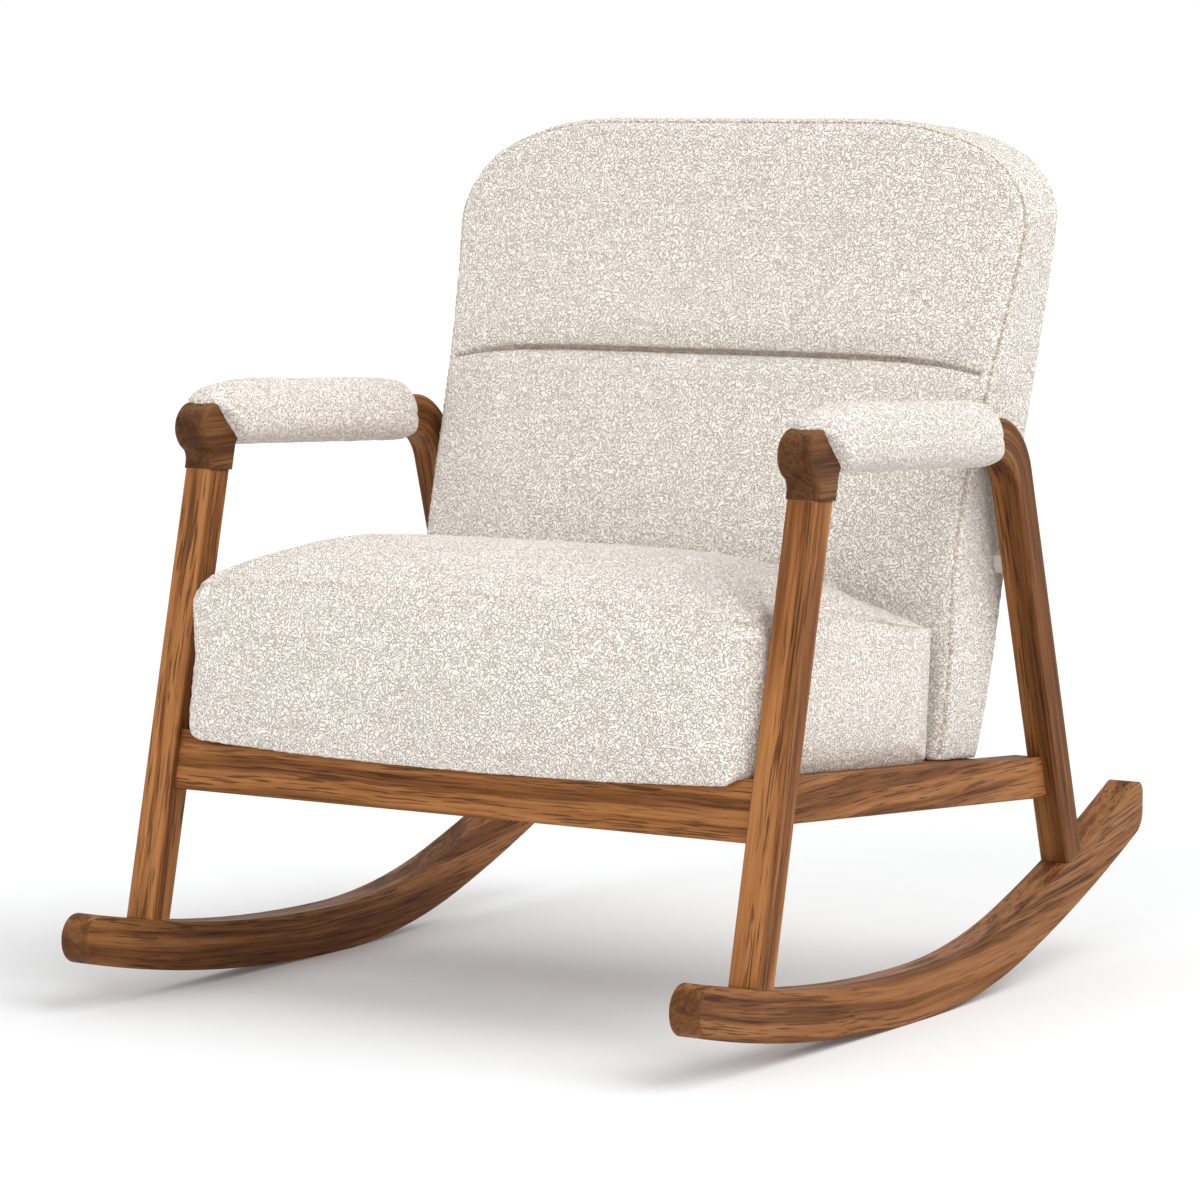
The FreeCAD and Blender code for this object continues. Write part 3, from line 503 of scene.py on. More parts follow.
def wood_material(name, turn, shift, tones, pores=1.0, rings=4.0, form="straight"):
    """Satin wood whose grain runs along the turned Z axis, along a runner or round an elbow."""
    wood = bpy.context.scene.rocker_wood
    dark, middle, light = tones
    material, tree, shader, point = new_material(name)
    if form == "runners":
        point = bowed_point(point)
    if form == "rear_legs":
        point = elbow_point(point)
    turned = add_node(tree, "Mapping", {"Vector": point, "Rotation": turn, "Location": shift}).outputs[0]
    grain = add_node(tree, "Group", {"Vector": turned, "Rings": rings, "Pores": pores},
                     node_tree=grain_group()).outputs
    ramp = add_node(tree, "ValToRGB", {0: grain["Tone"]})
    stops = ramp.color_ramp.elements
    stops.new(GRAIN_STOPS[1])
    for stop, place, tone in zip(stops, GRAIN_STOPS, tones):
        stop.position = place
        stop.color = (*tone, 1.0)
    colour = blended(grain["Pores"], ramp.outputs[0], scaled(dark, 0.35))
    facing = add_node(tree, "NewGeometry").outputs["Normal"]
    soft = add_node(tree, "Bevel", {"Radius": wood.edge}, samples=4).outputs[0]
    # Faces that look forward or back on the arms and runners are darkened: partly the darker stain of end
    # grain, partly painted shade
    if form in ("arms", "runners"):
        end = ranged(maths("ABSOLUTE", split(facing)[1]), 0.45, 0.90, 0.0, 0.55)
        colour = blended(end, colour, tuple(0.62 * d + 0.18 * m for d, m in zip(dark, middle)))
    # Painted highlight: where the softened normal leaves the face's own, the edge is lightened towards a
    # pale grain colour
    same = add_node(tree, "VectorMath", {0: facing, 1: soft}, operation="DOT_PRODUCT").outputs["Value"]
    painted_edge_highlight = ranged(same, 0.995, 0.90, 0.0, 0.30)
    plug(shader, {
        "Base Color": blended(painted_edge_highlight, colour, scaled(light, 1.15)),
        "Roughness": ranged(grain["Tone"], 0.2, 0.8, wood.roughness + 0.1, wood.roughness - 0.04),
        "Specular IOR Level": 0.14,
        "Normal": bumped(grain["Height"], 0.35, 0.0006, Normal=soft)})
    return material


def fabric_material():
    """Looped wool with painted shade between the loops; the mesh attribute seam paints shade into the sewn
    lines.
    """
    name = "looped_wool"
    if name in bpy.data.materials:
        return bpy.data.materials[name]
    fabric = bpy.context.scene.rocker_fabric
    material, tree, shader, point = new_material(name)
    loops = add_node(tree, "Group", {"Vector": point, "Loop Size": fabric.loop_size},
                     node_tree=loop_group()).outputs
    # Painted shade between the loops: the gaps are mixed towards the gap colour
    gap_shade = maths("MULTIPLY", loops["Gap"], 0.70)
    colour = blended(gap_shade, fabric.loop_colour, fabric.gap_shade_colour)
    cast = maths("MULTIPLY", loops["Mottle"], 0.08)
    colour = blended(cast, colour, scaled(fabric.loop_colour, 0.86))
    # Painted shade in the seams: the seam attribute darkens the colour towards the gap colour
    seam = add_node(tree, "Attribute", attribute_name="seam").outputs["Fac"]
    plug(shader, {
        "Base Color": blended(maths("MULTIPLY", seam, 0.9), colour, scaled(fabric.gap_shade_colour, 0.75)),
        "Roughness": ranged(loops["Height"], 0.2, 0.8, 1.0, 0.86),
        "Specular IOR Level": 0.15,
        "Sheen Weight": 0.12,
        "Sheen Roughness": 0.6,
        "Normal": bumped(loops["Height"], 1.0, fabric.bump)})
    return material


def patterned(shader, pattern, colours, rough, span=(0.3, 0.7)):
    """Colour and roughness that follow one pattern."""
    plug(shader, {"Base Color": blended(pattern, *colours), "Roughness": ranged(pattern, *span, *rough)})


def thread_material():
    """Twisted sewing thread."""
    material, _, shader, point = new_material("sewing_thread")
    colour = bpy.context.scene.rocker_fabric.gap_shade_colour
    twist = noisy(point, 900.0, 1.0)
    patterned(shader, twist, (scaled(colour, 0.85), scaled(colour, 1.15)), (0.7, 0.9))
    return material


def steel_material():
    """Zinc plated steel with a faint brushed haze."""
    material, _, shader, point = new_material("plated_steel")
    haze = noisy(stretched(point, 0.1), 600.0)
    patterned(shader, haze, ((0.42, 0.42, 0.43), (0.60, 0.60, 0.60)), (0.28, 0.45))
    plug(shader, {"Metallic": 1.0})
    return material


def nylon_material():
    """Pale moulded nylon."""
    material, _, shader, point = new_material("pale_nylon")
    cloud = noisy(point, 300.0)
    patterned(shader, cloud, ((0.62, 0.58, 0.53), (0.70, 0.66, 0.60)), (0.6, 0.75))
    return material


def webbing_material():
    """Woven elastic webbing."""
    material, tree, shader, point = new_material("woven_webbing")
    warp, weft = (
        add_node(tree, "TexWave", {"Vector": point, "Scale": 120.0}, bands_direction=way).outputs[1]
        for way in ("X", "Y"))
    weave = maths("MULTIPLY", warp, weft)
    patterned(shader, weave, ((0.10, 0.09, 0.08), (0.24, 0.22, 0.19)), (0.95, 0.75), (0.0, 1.0))
    plug(shader, {"Normal": bumped(weave, 0.5, 0.0005)})
    return material


# Mesh helpers

def unit(value):
    """Values held between nought and one."""
    return np.clip(value, 0.0, 1.0)


def quarter_round(past, length):
    """Share of the full size at a distance behind an edge, on a quarter round."""
    return np.sqrt(1.0 - (1.0 - unit(past / length)) ** 2)


def round_off(first, second):
    """The first of two places in a square corner, moved to a round one."""
    return first * np.sqrt(1.0 - second ** 2 / 2.0)


def level_box(node, slope=0.0):
    """Lowest and highest corner of a CAD node with the chair stood level, less the slope of an arm."""
    points = np.array([LEVEL @ v.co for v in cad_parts[node].data.vertices])
    points[:, 2] -= (points[:, 1] - ARM_START) * slope
    return points.min(axis=0), points.max(axis=0)


def graded(low, high, step, fine, marks, reach):
    """Positions from low to high, closer together near the marks."""
    places = [low]
    while places[-1] < high:
        near = min(abs(places[-1] - m) for m in marks)
        places.append(places[-1] + fine + (step - fine) * min(1.0, near / reach))
    places = np.array(places)
    return low + (places - low) * (high - low) / (places[-1] - low)


def shell_grid(xs, ys, zs):
    """Points and quads of a closed box with grid lines at the given places."""
    index, points, quads = {}, [], []

    def corner(i, j, k):
        if (i, j, k) not in index:
            index[i, j, k] = len(points)
            points.append((xs[i], ys[j], zs[k]))
        return index[i, j, k]

    nx, ny, nz = len(xs) - 1, len(ys) - 1, len(zs) - 1
    for i in range(nx):
        for j in range(ny):
            for k, turn in ((0, -1), (nz, 1)):
                ring = (corner(i, j, k), corner(i + 1, j, k), corner(i + 1, j + 1, k), corner(i, j + 1, k))
                quads.append(ring[::turn])
        for k in range(nz):
            for j, turn in ((0, 1), (ny, -1)):
                ring = (corner(i, j, k), corner(i + 1, j, k), corner(i + 1, j, k + 1), corner(i, j, k + 1))
                quads.append(ring[::turn])
    for j in range(ny):
        for k in range(nz):
            for i, turn in ((0, -1), (nx, 1)):
                ring = (corner(i, j, k), corner(i, j + 1, k), corner(i, j + 1, k + 1), corner(i, j, k + 1))
                quads.append(ring[::turn])
    return np.array(points), quads


def rounded(points, half, low, high):
    """Box points pulled onto a box with rounded edges, with its own radii on the low and high sides."""
    half, low, high = np.array(half), np.array(low), np.array(high)
    radius = np.where(points < 0.0, low, high)
    inner = np.clip(points, low - half, half - high)
    off = (points - inner) / radius
    square = off ** 2
    ball = np.empty_like(off)
    for axis in range(3):
        b, c = square[:, (axis + 1) % 3], square[:, (axis + 2) % 3]
        ball[:, axis] = off[:, axis] * np.sqrt(1.0 - b / 2.0 - c / 2.0 + b * c / 3.0)
    return inner + radius * ball


def on_sides(box, half):
    """Which points of a box grid lie on its four upright sides."""
    return np.isclose(np.abs(box[:, :2]), half[:2]).any(axis=1)


def in_order(chosen, first, second):
    """The chosen points in order of their angle."""
    picked = np.flatnonzero(chosen)
    return picked[np.argsort(np.arctan2(first[picked], second[picked]))]


def make_mesh(name, points, quads):
    """A smooth mesh object in the scene."""
    mesh = bpy.data.meshes.new(name)
    mesh.from_pydata(points.tolist(), [], quads)
    mesh.polygons.foreach_set("use_smooth", np.ones(len(mesh.polygons), dtype=bool))
    obj = bpy.data.objects.new(name, mesh)
    bpy.context.scene.collection.objects.link(obj)
    return obj


def coordinates(mesh, what="vertices"):
    """The mesh's points, or their normals, as an array."""
    flat = np.empty(len(mesh.vertices) * 3, dtype=np.float32)
    if what == "normals":
        mesh.vertex_normals.foreach_get("vector", flat)
    else:
        mesh.vertices.foreach_get("co", flat)
    return flat.reshape(-1, 3).astype(float)


def set_coordinates(mesh, points):
    """Moves the mesh's points."""
    mesh.vertices.foreach_set("co", points.astype(np.float32).ravel())
    mesh.update()


def stuff(obj, held, cap):
    """Swells the cloth under pressure; held points stay, and no point moves further than the cap."""
    sizes = bpy.context.scene.rocker_cushions
    start = coordinates(obj.data)
    group = obj.vertex_groups.new(name="sewn")
    group.add([int(i) for i in np.flatnonzero(held)], 1.0, "REPLACE")
    cloth = obj.modifiers.new("stuffing", "CLOTH")
    cloth.settings.use_pressure = True
    cloth.settings.uniform_pressure_force = sizes.pressure
    cloth.settings.vertex_group_mass = "sewn"
    cloth.settings.effector_weights.gravity = 0.0
    cloth.settings.quality = 4
    cloth.collision_settings.use_collision = False
    cloth.point_cache.frame_start = 1
    cloth.point_cache.frame_end = sizes.frames
    scene = bpy.context.scene
    for step in range(1, sizes.frames + 1):
        scene.frame_set(step)
    shown = obj.evaluated_get(bpy.context.evaluated_depsgraph_get())
    move = coordinates(shown.data) - start
    obj.modifiers.remove(cloth)
    obj.vertex_groups.remove(group)
    scene.frame_set(1)
    length = np.linalg.norm(move, axis=1, keepdims=True)
    share = cap * np.tanh(length / cap) / np.maximum(length, 1e-9)
    set_coordinates(obj.data, start + move * share)


def subdivide(obj):
    """One applied subdivision."""
    step = obj.modifiers.new("finer", "SUBSURF")
    step.levels = 1
    step.render_levels = 1
    shown = obj.evaluated_get(bpy.context.evaluated_depsgraph_get())
    mesh = bpy.data.meshes.new_from_object(shown)
    obj.modifiers.remove(step)
    old, obj.data = obj.data, mesh
    bpy.data.meshes.remove(old)
    mesh.polygons.foreach_set("use_smooth", np.ones(len(mesh.polygons), dtype=bool))


def point_tree(points):
    """A search tree of points."""
    tree = kdtree.KDTree(len(points))
    for place, point in enumerate(points):
        tree.insert(point, place)
    tree.balance()
    return tree


def nearest(lines, points, reach):
    """Distance of each point from the nearest line point, or the reach where it is further."""
    tree = point_tree(lines)
    far = np.full(len(points), reach)
    low, high = lines.min(axis=0) - reach, lines.max(axis=0) + reach
    for i in np.flatnonzero(np.all((points > low) & (points < high), axis=1)):
        far[i] = min(reach, tree.find(points[i])[2])
    return far


def dense(line, closed=False):
    """A line of points made close together."""
    line = np.array(line)
    if closed:
        line = np.vstack((line, line[:1]))
    run = np.concatenate(([0.0], np.cumsum(np.linalg.norm(np.diff(line, axis=0), axis=1))))
    at = np.arange(0.0, run[-1], SEAM_GAP)
    return np.stack([np.interp(at, run, line[:, axis]) for axis in range(3)], axis=1)


def sew(obj, seams, width, depth, seam_shade):
    """Pulls the fabric in along the seams and marks them for the material, which paints shade into them."""
    mesh = obj.data
    points = coordinates(mesh)
    normals = coordinates(mesh, "normals")
    pull = np.exp(-(nearest(np.vstack(seams), points, 4 * width) / width) ** 2)
    pull[pull < 1e-6] = 0.0
    old = mesh.attributes.get("seam")
    before = np.zeros(len(points), dtype=np.float32)
    if old is None:
        old = mesh.attributes.new("seam", "FLOAT", "POINT")
    else:
        old.data.foreach_get("value", before)
    old.data.foreach_set("value", np.maximum(before, seam_shade * pull).astype(np.float32))
    set_coordinates(mesh, points - normals * (depth * pull)[:, None])


def roughen(obj):
    """Lifts the surface a little, loop by loop, so that its outline isn't smooth."""
    points = coordinates(obj.data)
    normals = coordinates(obj.data, "normals")
    lift = np.array([noise.noise(p) for p in points / NAP_CELL])
    height = bpy.context.scene.rocker_fabric.nap
    set_coordinates(obj.data, points + normals * (height * lift)[:, None])


def finish_piece(obj, material, slot, *replaced):
    """Leans the piece onto the chair, gives it its finish and hangs it on the frame."""
    obj.data.transform(LEAN)
    obj.data.update()
    obj.data.materials.clear()
    obj.data.materials.append(material)
    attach(obj, "root")
    if replaced:
        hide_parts(*replaced)


def profile(table):
    """A smooth curve through a table of heights and depths."""
    places = np.array(table)
    return np.poly1d(np.polyfit(places[:, 0], places[:, 1], PROFILE_DEGREE))


# Pieces

class ROCKER_OT_wood(bpy.types.Operator):
    """Gives the wooden and hidden frame nodes their finishes"""
    bl_idname = "rocker.wood"
    bl_label = "Wood and Hardware"

    def execute(self, context):
        stained = set()
        wood = context.scene.rocker_wood
        for count, (group, (names, turn, tone_and_painted_shade)) in enumerate(WOOD_NODES.items()):
            # Each group's tones are scaled by its factor, which is partly painted shade
            tones = [scaled(tone, tone_and_painted_shade) for tone in (wood.dark, wood.middle, wood.light)]
            finish = wood_material("stained_" + group, turn, scaled(GRAIN_SHIFT, count), tones, form=group)
            for name in names:
                self.paint(name, finish)
            stained.update(names)
        pale = wood_material("frame_pine", (0.0, -math.pi / 2, 0.0), (1.0, 2.0, 3.0), PINE_TONES, 0.3)
        ply = wood_material("plywood_board", (0.0, 0.0, 0.0), (2.0, 1.0, 3.0), PINE_TONES, 0.2, 12.0)
        steel = steel_material()
        by_ending = {"_spacers": nylon_material(), "_screws": steel, "_pins": steel,
                     "webbing": webbing_material(), "panel": ply}
        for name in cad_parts:
            if name not in stained:
                found = [finish for ending, finish in by_ending.items() if name.endswith(ending)]
                self.paint(name, found[0] if found else pale)
        return {"FINISHED"}

    def paint(self, name, material):
        """Puts one material on a CAD node."""
        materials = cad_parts[name].data.materials
        materials.clear()
        materials.append(material)


class ROCKER_OT_seat(bpy.types.Operator):
    """Builds the stuffed seat with its crowned top panel and sewn edge"""
    bl_idname = "rocker.seat"
    bl_label = "Seat Cushion"

    def execute(self, context):
        sizes = context.scene.rocker_cushions
        low, high = level_box("seat_cover")
        seam = sizes.seam_height
        base = low[2] - SEAT_DROP
        length = high[1] - low[1] - SEAT_LENGTH_GAP
        half = np.array((high[0] - SEAT_SIDE_GAP, length / 2, (seam - base) / 2))
        middle = np.array((0.0, high[1] - half[1] - SEAT_REAR_GAP, (seam + base) / 2))
        cell = sizes.cell
        lines = [graded(-h, h, cell, EDGE_FINE * cell, (-h, h), EDGE_REACH) for h in half]
        box, quads = shell_grid(*lines)
        top = np.isclose(box[:, 2], half[2])
        rim = top & on_sides(box, half)
        under = np.isclose(box[:, 2], -half[2])
        rear = np.isclose(box[:, 1], half[1])
        points = rounded(box, half, *SEAT_RADII)
        self.crown(points, half, top, high[2] - seam - SEAT_CROWN_GAP)
        points += middle
        ahead = unit((RAIL_FRONT - points[:, 1]) / SEAT_LIP_RUN)
        lower = unit((base + SEAT_LIP_TOP - points[:, 2]) / SEAT_LIP_BAND)
        points[:, 2] -= SEAT_LIP * ahead * lower
        obj = make_mesh("seat_cushion", points, quads)
        stuff(obj, rim | under | rear, SEAT_SWELL)
        loop = in_order(rim, box[:, 1] / half[1], box[:, 0] / half[0])
        line = dense(coordinates(obj.data)[loop], closed=True)
        subdivide(obj)
        sew(obj, [line], *SEAT_SEAM)
        roughen(obj)
        finish_piece(obj, fabric_material(), "upholstery", "seat_cover", "seat_foam")
        return {"FINISHED"}

    def crown(self, points, half, top, rise):
        """Raises the top panel, tucks its rear under the back and bows the front."""
        across = unit(np.abs(points[:, 0] / half[0]))
        along = np.clip(points[:, 1] / half[1], -1.0, 1.0)
        dome = rise * np.sqrt(
            (1.0 - across ** SEAT_SIDE_POWER) * (1.0 - unit(-along) ** SEAT_FRONT_POWER))
        tuck = unit((along + TUCK_START) / (1.0 + TUCK_START))
        tuck = tuck * tuck * (3.0 - 2.0 * tuck)
        dome = dome * (1.0 - tuck) + tuck * (TUCK_RISE * (1.0 - across ** TUCK_POWER) - TUCK_SINK)
        radius = SEAT_RADII[1][2]
        weight = unit((points[:, 2] - half[2] + radius) / radius) * top
        points[:, 2] += dome * weight
        points[:, 1] += TUCK_REACH * weight * tuck ** 4 * (1.0 - across ** 2)
        front = unit((1.0 - along) / 2.0) ** 2
        points[:, 1] -= FRONT_BULGE * front * (1.0 - across ** 2)


class ROCKER_OT_back(bpy.types.Operator):
    """Builds the stuffed back with its sewn channel, edge seams and stitches"""
    bl_idname = "rocker.back"
    bl_label = "Back Cushion"

    def execute(self, context):
        sizes = context.scene.rocker_cushions
        cell = sizes.cell
        channel = sizes.channel_height
        wide = BACK_WIDE
        bottom = level_box("back_cover")[0][2] + BACK_GAP
        top = sizes.back_top
        xs = graded(-wide, wide, cell, EDGE_FINE * cell, (-wide, wide), EDGE_REACH)
        zs = graded(bottom, top, cell, CHANNEL_FINE * cell, (channel, top), CHANNEL_REACH)
        shares = graded(0.0, 1.0, WALL_CELL, WALL_FINE, (0.0, 1.0), WALL_REACH)
        grid, quads = shell_grid(xs, shares, zs)
        x, share, z = grid.T
        front, rear = share == 0.0, share == 1.0
        inset = np.minimum(wide - np.abs(x), top - z)
        px, y, pz = self.form(sizes, grid.T, front | rear, inset, bottom)
        flare = profile(BACK_HALF)(pz) / wide
        obj = make_mesh("back_cushion", np.stack((px * flare, y, pz), axis=1), quads)
        rim = (front | rear) & (inset < 1e-9)
        line = self.channel_line(px / wide, channel)
        sewn = front & (np.abs(pz - line) < CHANNEL_BAND * cell)
        stuff(obj, rim | sewn | rear | np.isclose(z, bottom), BACK_SWELL)
        swollen = coordinates(obj.data)
        height = z - (bottom + HOOP_HEIGHT)
        seams = [dense(swollen[in_order(rim & side, x, height)]) for side in (front, rear)]
        subdivide(obj)
        sew(obj, seams, *BACK_SEAM)
        sew(obj, [self.channel_path(obj, channel)], *CHANNEL_SEAM)
        roughen(obj)
        self.stitches(obj, seams, sizes.stitch_pitch)
        finish_piece(obj, fabric_material(), "upholstery",
                     "back_cover", "back_foam_upper", "back_foam_lower")
        return {"FINISHED"}

    def form(self, sizes, grid, face, inset, bottom):
        """Grid points moved onto the back: places across before the flare, depths and heights."""
        x, share, z = grid
        top = sizes.back_top
        run = np.where(share < 0.5, share, 1.0 - share) * np.interp(z, (bottom, top), BACK_DEPTH)
        flat = face & (inset >= BACK_RADIUS)
        wall = ~face & (run >= BACK_RADIUS)
        by_rim = np.where(face, unit(1.0 - inset / BACK_RADIUS), 1.0)
        by_face = np.where(face, 1.0, unit(1.0 - run / BACK_RADIUS))
        pinch = np.where(flat | wall, 0.0, BACK_RADIUS * (1.0 - round_off(by_rim, by_face)))
        dip = np.where(flat, 0.0, BACK_RADIUS * (1.0 - round_off(by_face, by_rim)))
        px = np.clip(x, pinch - BACK_WIDE, BACK_WIDE - pinch)
        pz = np.minimum(z, top - pinch)
        reach = sizes.back_corner_reach * (CORNER_REACH - CORNER_REACH_LOSS * share)
        depth = sizes.back_corner * (1.0 - CORNER_LOSS * share)
        px, pz = self.corners(px, pz, top - TOP_LOSS * share, reach, depth)
        across = px / BACK_WIDE
        seam_front = profile(BACK_FRONT)(pz)
        seam_rear = profile(BACK_REAR)(pz)
        y_front = seam_front - self.swell(across, pz, bottom, sizes)
        y_rear = seam_rear + REAR_BULGE * (1.0 - np.abs(across) ** REAR_POWER)
        y = np.where(share < 0.5, y_front + dip, y_rear - dip)
        y = np.where(wall, seam_front + (seam_rear - seam_front) * share, y)
        return px, y, pz

    def corners(self, px, pz, top, reach, depth):
        """Rounds the two upper corners."""
        a = unit((np.abs(px) - (BACK_WIDE - reach)) / reach)
        b = unit((pz - (top - depth)) / depth)
        both = (a > 0.0) & (b > 0.0)
        new_x = np.sign(px) * (BACK_WIDE - reach + reach * round_off(a, b))
        new_z = top - depth + depth * round_off(b, a)
        return np.where(both, new_x, px), np.where(both, new_z, pz)

    def channel_line(self, across, channel):
        """Height of the sewn channel, which drops towards the sides."""
        return channel - CHANNEL_DROP * np.abs(across) ** CHANNEL_POWER

    def swell(self, across, z, bottom, sizes):
        """How far the two bolsters stand forward of the side seams."""
        channel = sizes.channel_height
        line = self.channel_line(across, channel)
        bolsters = ((LOWER_BOLSTER, line - z, channel - bottom),
                    (UPPER_BOLSTER, z - line, sizes.back_top - channel))
        total = 0.0
        for (rise, run, loss), past, span in bolsters:
            past = np.clip(past, 0.0, None)
            kept = quarter_round(past, run) * (1.0 - loss * (past / span) ** BOLSTER_POWER)
            total = total + rise * kept
        return (1.0 - np.abs(across) ** BOLSTER_SPREAD) * total

    def channel_path(self, obj, channel):
        """Points along the channel on the front of the finished back."""
        points = coordinates(obj.data)
        normals = coordinates(obj.data, "normals")
        facing = points[normals[:, 1] < FRONT_FACING]
        end = BACK_WIDE - CHANNEL_INSET
        path = []
        for x in np.linspace(-end, end, CHANNEL_POINTS):
            z = self.channel_line(x / BACK_WIDE, channel)
            off = np.abs(facing[:, 0] - x) + np.abs(facing[:, 2] - z)
            path.append((x, facing[np.argmin(off), 1], z))
        return dense(path)

    def stitches(self, obj, seams, pitch):
        """Short threads set in the edge seams."""
        normals = coordinates(obj.data, "normals")
        tree = point_tree(coordinates(obj.data))
        step = max(STITCH_AIM, round(pitch / SEAM_GAP))
        points, quads = [], []
        for seam in seams:
            for start in range(0, len(seam) - step, step):
                centre = Vector(seam[start])
                along = (Vector(seam[start + STITCH_AIM]) - centre).normalized()
                found, place, _ = tree.find(centre)
                out = Vector(normals[place])
                side = along.cross(out).normalized()
                self.thread(points, quads, found + out * STITCH_LIFT, along, side, out)
        threads = make_mesh("back_stitches", np.array(points), quads)
        finish_piece(threads, thread_material(), "upholstery")

    def thread(self, points, quads, foot, along, side, out):
        """One stitch, a small arched loop of thread."""
        first = len(points)
        sides = range(THREAD_SIDES)
        for place, lift in STITCH_ARCH:
            for turn in sides:
                angle = turn * 2 * math.pi / THREAD_SIDES
                spoke = side * math.cos(angle) + out * math.sin(angle)
                points.append(foot + along * place + out * lift + spoke * THREAD_RADIUS)
        last = len(points) - THREAD_SIDES
        for ring in range(first, last, THREAD_SIDES):
            for turn in sides:
                a = ring + turn
                b = ring + (turn + 1) % THREAD_SIDES
                quads.append((a, a + THREAD_SIDES, b + THREAD_SIDES, b))
        quads.append(tuple(first + turn for turn in sides))
        quads.append(tuple(last + turn for turn in reversed(sides)))


class ROCKER_OT_pads(bpy.types.Operator):
    """Builds the stuffed pads on the two arms"""
    bl_idname = "rocker.pads"
    bl_label = "Arm Pads"

    def execute(self, context):
        for side in ("left", "right"):
            self.pad(context, side)
        return {"FINISHED"}

    def pad(self, context, side):
        """One pad, round behind and cut back under its front."""
        cell = PAD_CELL * context.scene.rocker_cushions.cell
        low, high = level_box("arm_cover_" + side, ARM_SLOPE)
        half = (high - low) / 2 - PAD_TRIM
        middle = (high + low) / 2
        lines = [graded(-h, h, cell, PAD_FINE * cell, (-h, h), PAD_REACH) for h in half]
        box, quads = shell_grid(*lines)
        under = np.isclose(box[:, 2], -half[2])
        points = rounded(box, half, *PAD_RADII)
        past = points[:, 1] + half[1]
        share = (points[:, 2] + half[2]) / (2 * half[2])
        arch = PAD_ARCH * (1.0 - np.abs(points[:, 1] / half[1]) ** PAD_ARCH_POWER)
        rise = high[2] - PAD_TOP_GAP - PAD_TIP
        top = PAD_TIP + rise * quarter_round(past, PAD_NOSE) + arch
        slant = unit((past - PAD_LIP) / PAD_SLANT)
        base = PAD_REST + (low[2] + PAD_TRIM - PAD_REST) * slant
        points[:, 0] *= PAD_TIP_WIDTH + (1.0 - PAD_TIP_WIDTH) * quarter_round(past, PAD_TAPER)
        points[:, 2] = base + (top - base) * share
        points[:, :2] += middle[:2]
        points[:, 2] += (points[:, 1] - ARM_START) * ARM_SLOPE
        obj = make_mesh("arm_pad_" + side, points, quads)
        stuff(obj, under, PAD_SWELL)
        loop = in_order(under & on_sides(box, half), box[:, 1] / half[1], box[:, 0] / half[0])
        line = coordinates(obj.data)[loop] + np.array((0.0, 0.0, PAD_SEAM_LIFT))
        subdivide(obj)
        sew(obj, [dense(line, closed=True)], *PAD_SEAM)
        roughen(obj)
        finish_piece(obj, fabric_material(), "upholstery", "arm_cover_" + side, "arm_foam_" + side)


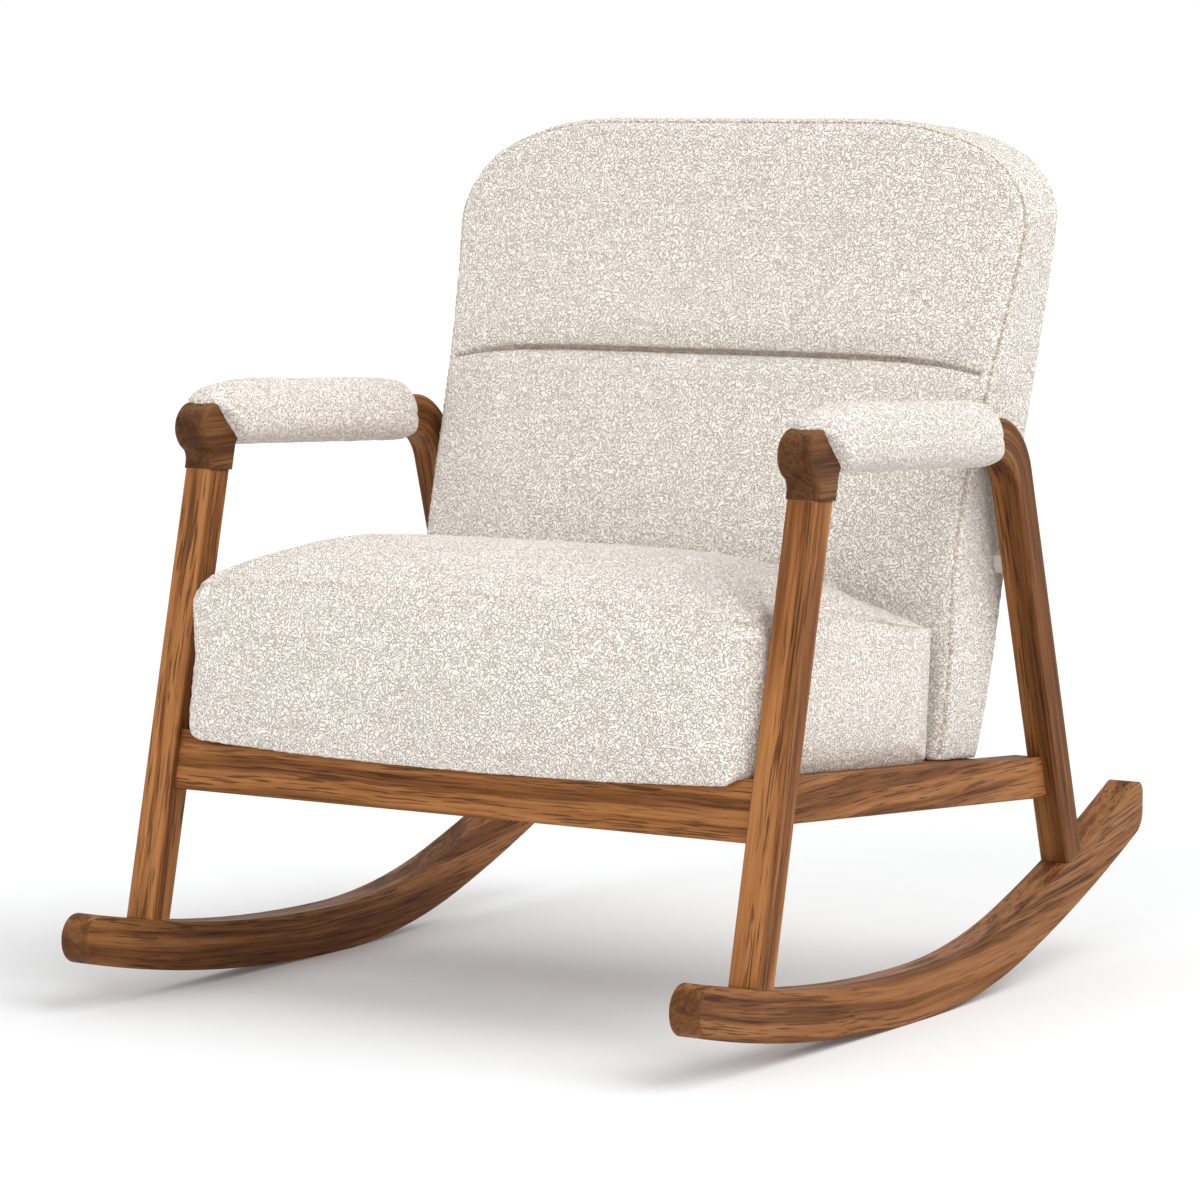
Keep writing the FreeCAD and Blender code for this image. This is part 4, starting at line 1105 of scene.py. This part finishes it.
class ROCKER_OT_stage(bpy.types.Operator):
    """Sets the floor, the soft light and the camera"""
    bl_idname = "rocker.stage"
    bl_label = "Studio"

    def execute(self, context):
        scene = context.scene
        stage = scene.rocker_stage
        scene.view_settings.view_transform = "Standard"
        self.floor(stage)
        self.world(scene, stage)
        self.lamp("key_lamp", stage.key, KEY_SIDE, stage.softness)
        self.lamp("fill_lamp", stage.fill, FILL_SIDE, stage.softness)
        data = bpy.data.cameras.new("photo_camera")
        data.lens = stage.lens
        data.sensor_width = SENSOR_WIDTH
        camera = bpy.data.objects.new("photo_camera", data)
        scene.collection.objects.link(camera)
        camera.location = stage.eye
        gaze = Vector(stage.target) - Vector(stage.eye)
        camera.rotation_mode = "QUATERNION"
        camera.rotation_quaternion = gaze.to_track_quat("-Z", "Y")
        scene.camera = camera
        return {"FINISHED"}

    def floor(self, stage):
        """A wide pale floor that looks white away from the chair's shadow."""
        ends = ((-1, -1), (1, -1), (1, 1), (-1, 1))
        corners = np.array([(FLOOR_SPAN * x, FLOOR_SPAN * y, 0.0) for x, y in ends])
        floor = make_mesh("studio_floor", corners, [(0, 1, 2, 3)])
        material, tree, shader, _ = new_material("pale_floor")
        plug(shader, {"Base Color": (*stage.floor_colour, 1.0), "Roughness": 0.9, "Specular IOR Level": 0.0})
        strength = maths("MULTIPLY", seen_ray(tree), FLOOR_GLOW)
        glow = add_node(tree, "Emission", {"Color": WHITE, "Strength": strength})
        both = add_node(tree, "AddShader", {0: shader.outputs[0], 1: glow.outputs[0]})
        plug(tree.nodes["Material Output"], {"Surface": both.outputs[0]})
        floor.data.materials.append(material)

    def world(self, scene, stage):
        """Even light from all round, with a white background."""
        world = bpy.data.worlds.new("studio_room")
        scene.world = world
        world.use_nodes = True
        tree = world.node_tree
        tree.nodes.clear()
        strength = ranged(seen_ray(tree), 0.0, 1.0, stage.sky, 1.0, "LINEAR")
        sky = add_node(tree, "Background", {"Color": WHITE, "Strength": strength})
        add_node(tree, "OutputWorld", {0: sky.outputs[0]})

    def lamp(self, name, strength, towards, softness):
        """A soft lamp so far off that it lights the floor evenly."""
        data = bpy.data.lights.new(name, "SUN")
        data.energy = strength
        data.angle = softness
        lamp = bpy.data.objects.new(name, data)
        bpy.context.scene.collection.objects.link(lamp)
        lamp.rotation_mode = "QUATERNION"
        lamp.rotation_quaternion = Vector(towards).to_track_quat("Z", "Y")
        lamp.location = Vector(towards) * LAMP_DISTANCE


class ROCKER_PT_panel(bpy.types.Panel):
    """Lists the steps that dress the chair"""
    bl_idname = "ROCKER_PT_panel"
    bl_label = "Rocking Chair"
    bl_space_type = "VIEW_3D"
    bl_region_type = "UI"
    bl_category = "Rocking Chair"

    def draw(self, context):
        for step in STEPS:
            self.layout.operator(step.bl_idname)
        for name, kind in GROUPS.items():
            box = self.layout.box()
            for size in kind.__annotations__:
                box.prop(getattr(context.scene, name), size)


STEPS = (ROCKER_OT_stage, ROCKER_OT_wood, ROCKER_OT_seat, ROCKER_OT_back, ROCKER_OT_pads)
GROUPS = {
    "rocker_wood": RockerWood,
    "rocker_fabric": RockerFabric,
    "rocker_cushions": RockerCushions,
    "rocker_stage": RockerStage,
}


def register():
    """Registers the properties, the steps and the panel."""
    for name, group in GROUPS.items():
        bpy.utils.register_class(group)
        setattr(bpy.types.Scene, name, PointerProperty(type=group))
    for step in (*STEPS, ROCKER_PT_panel):
        bpy.utils.register_class(step)


def unregister():
    """Removes what register added."""
    for step in (ROCKER_PT_panel, *reversed(STEPS)):
        bpy.utils.unregister_class(step)
    for name, group in reversed(GROUPS.items()):
        delattr(bpy.types.Scene, name)
        bpy.utils.unregister_class(group)


def main():
    """Dresses the chair."""
    register()
    for step in (bpy.ops.rocker.stage, bpy.ops.rocker.wood, bpy.ops.rocker.seat,
                 bpy.ops.rocker.back, bpy.ops.rocker.pads):
        step()


if __name__ == "__main__":
    main()
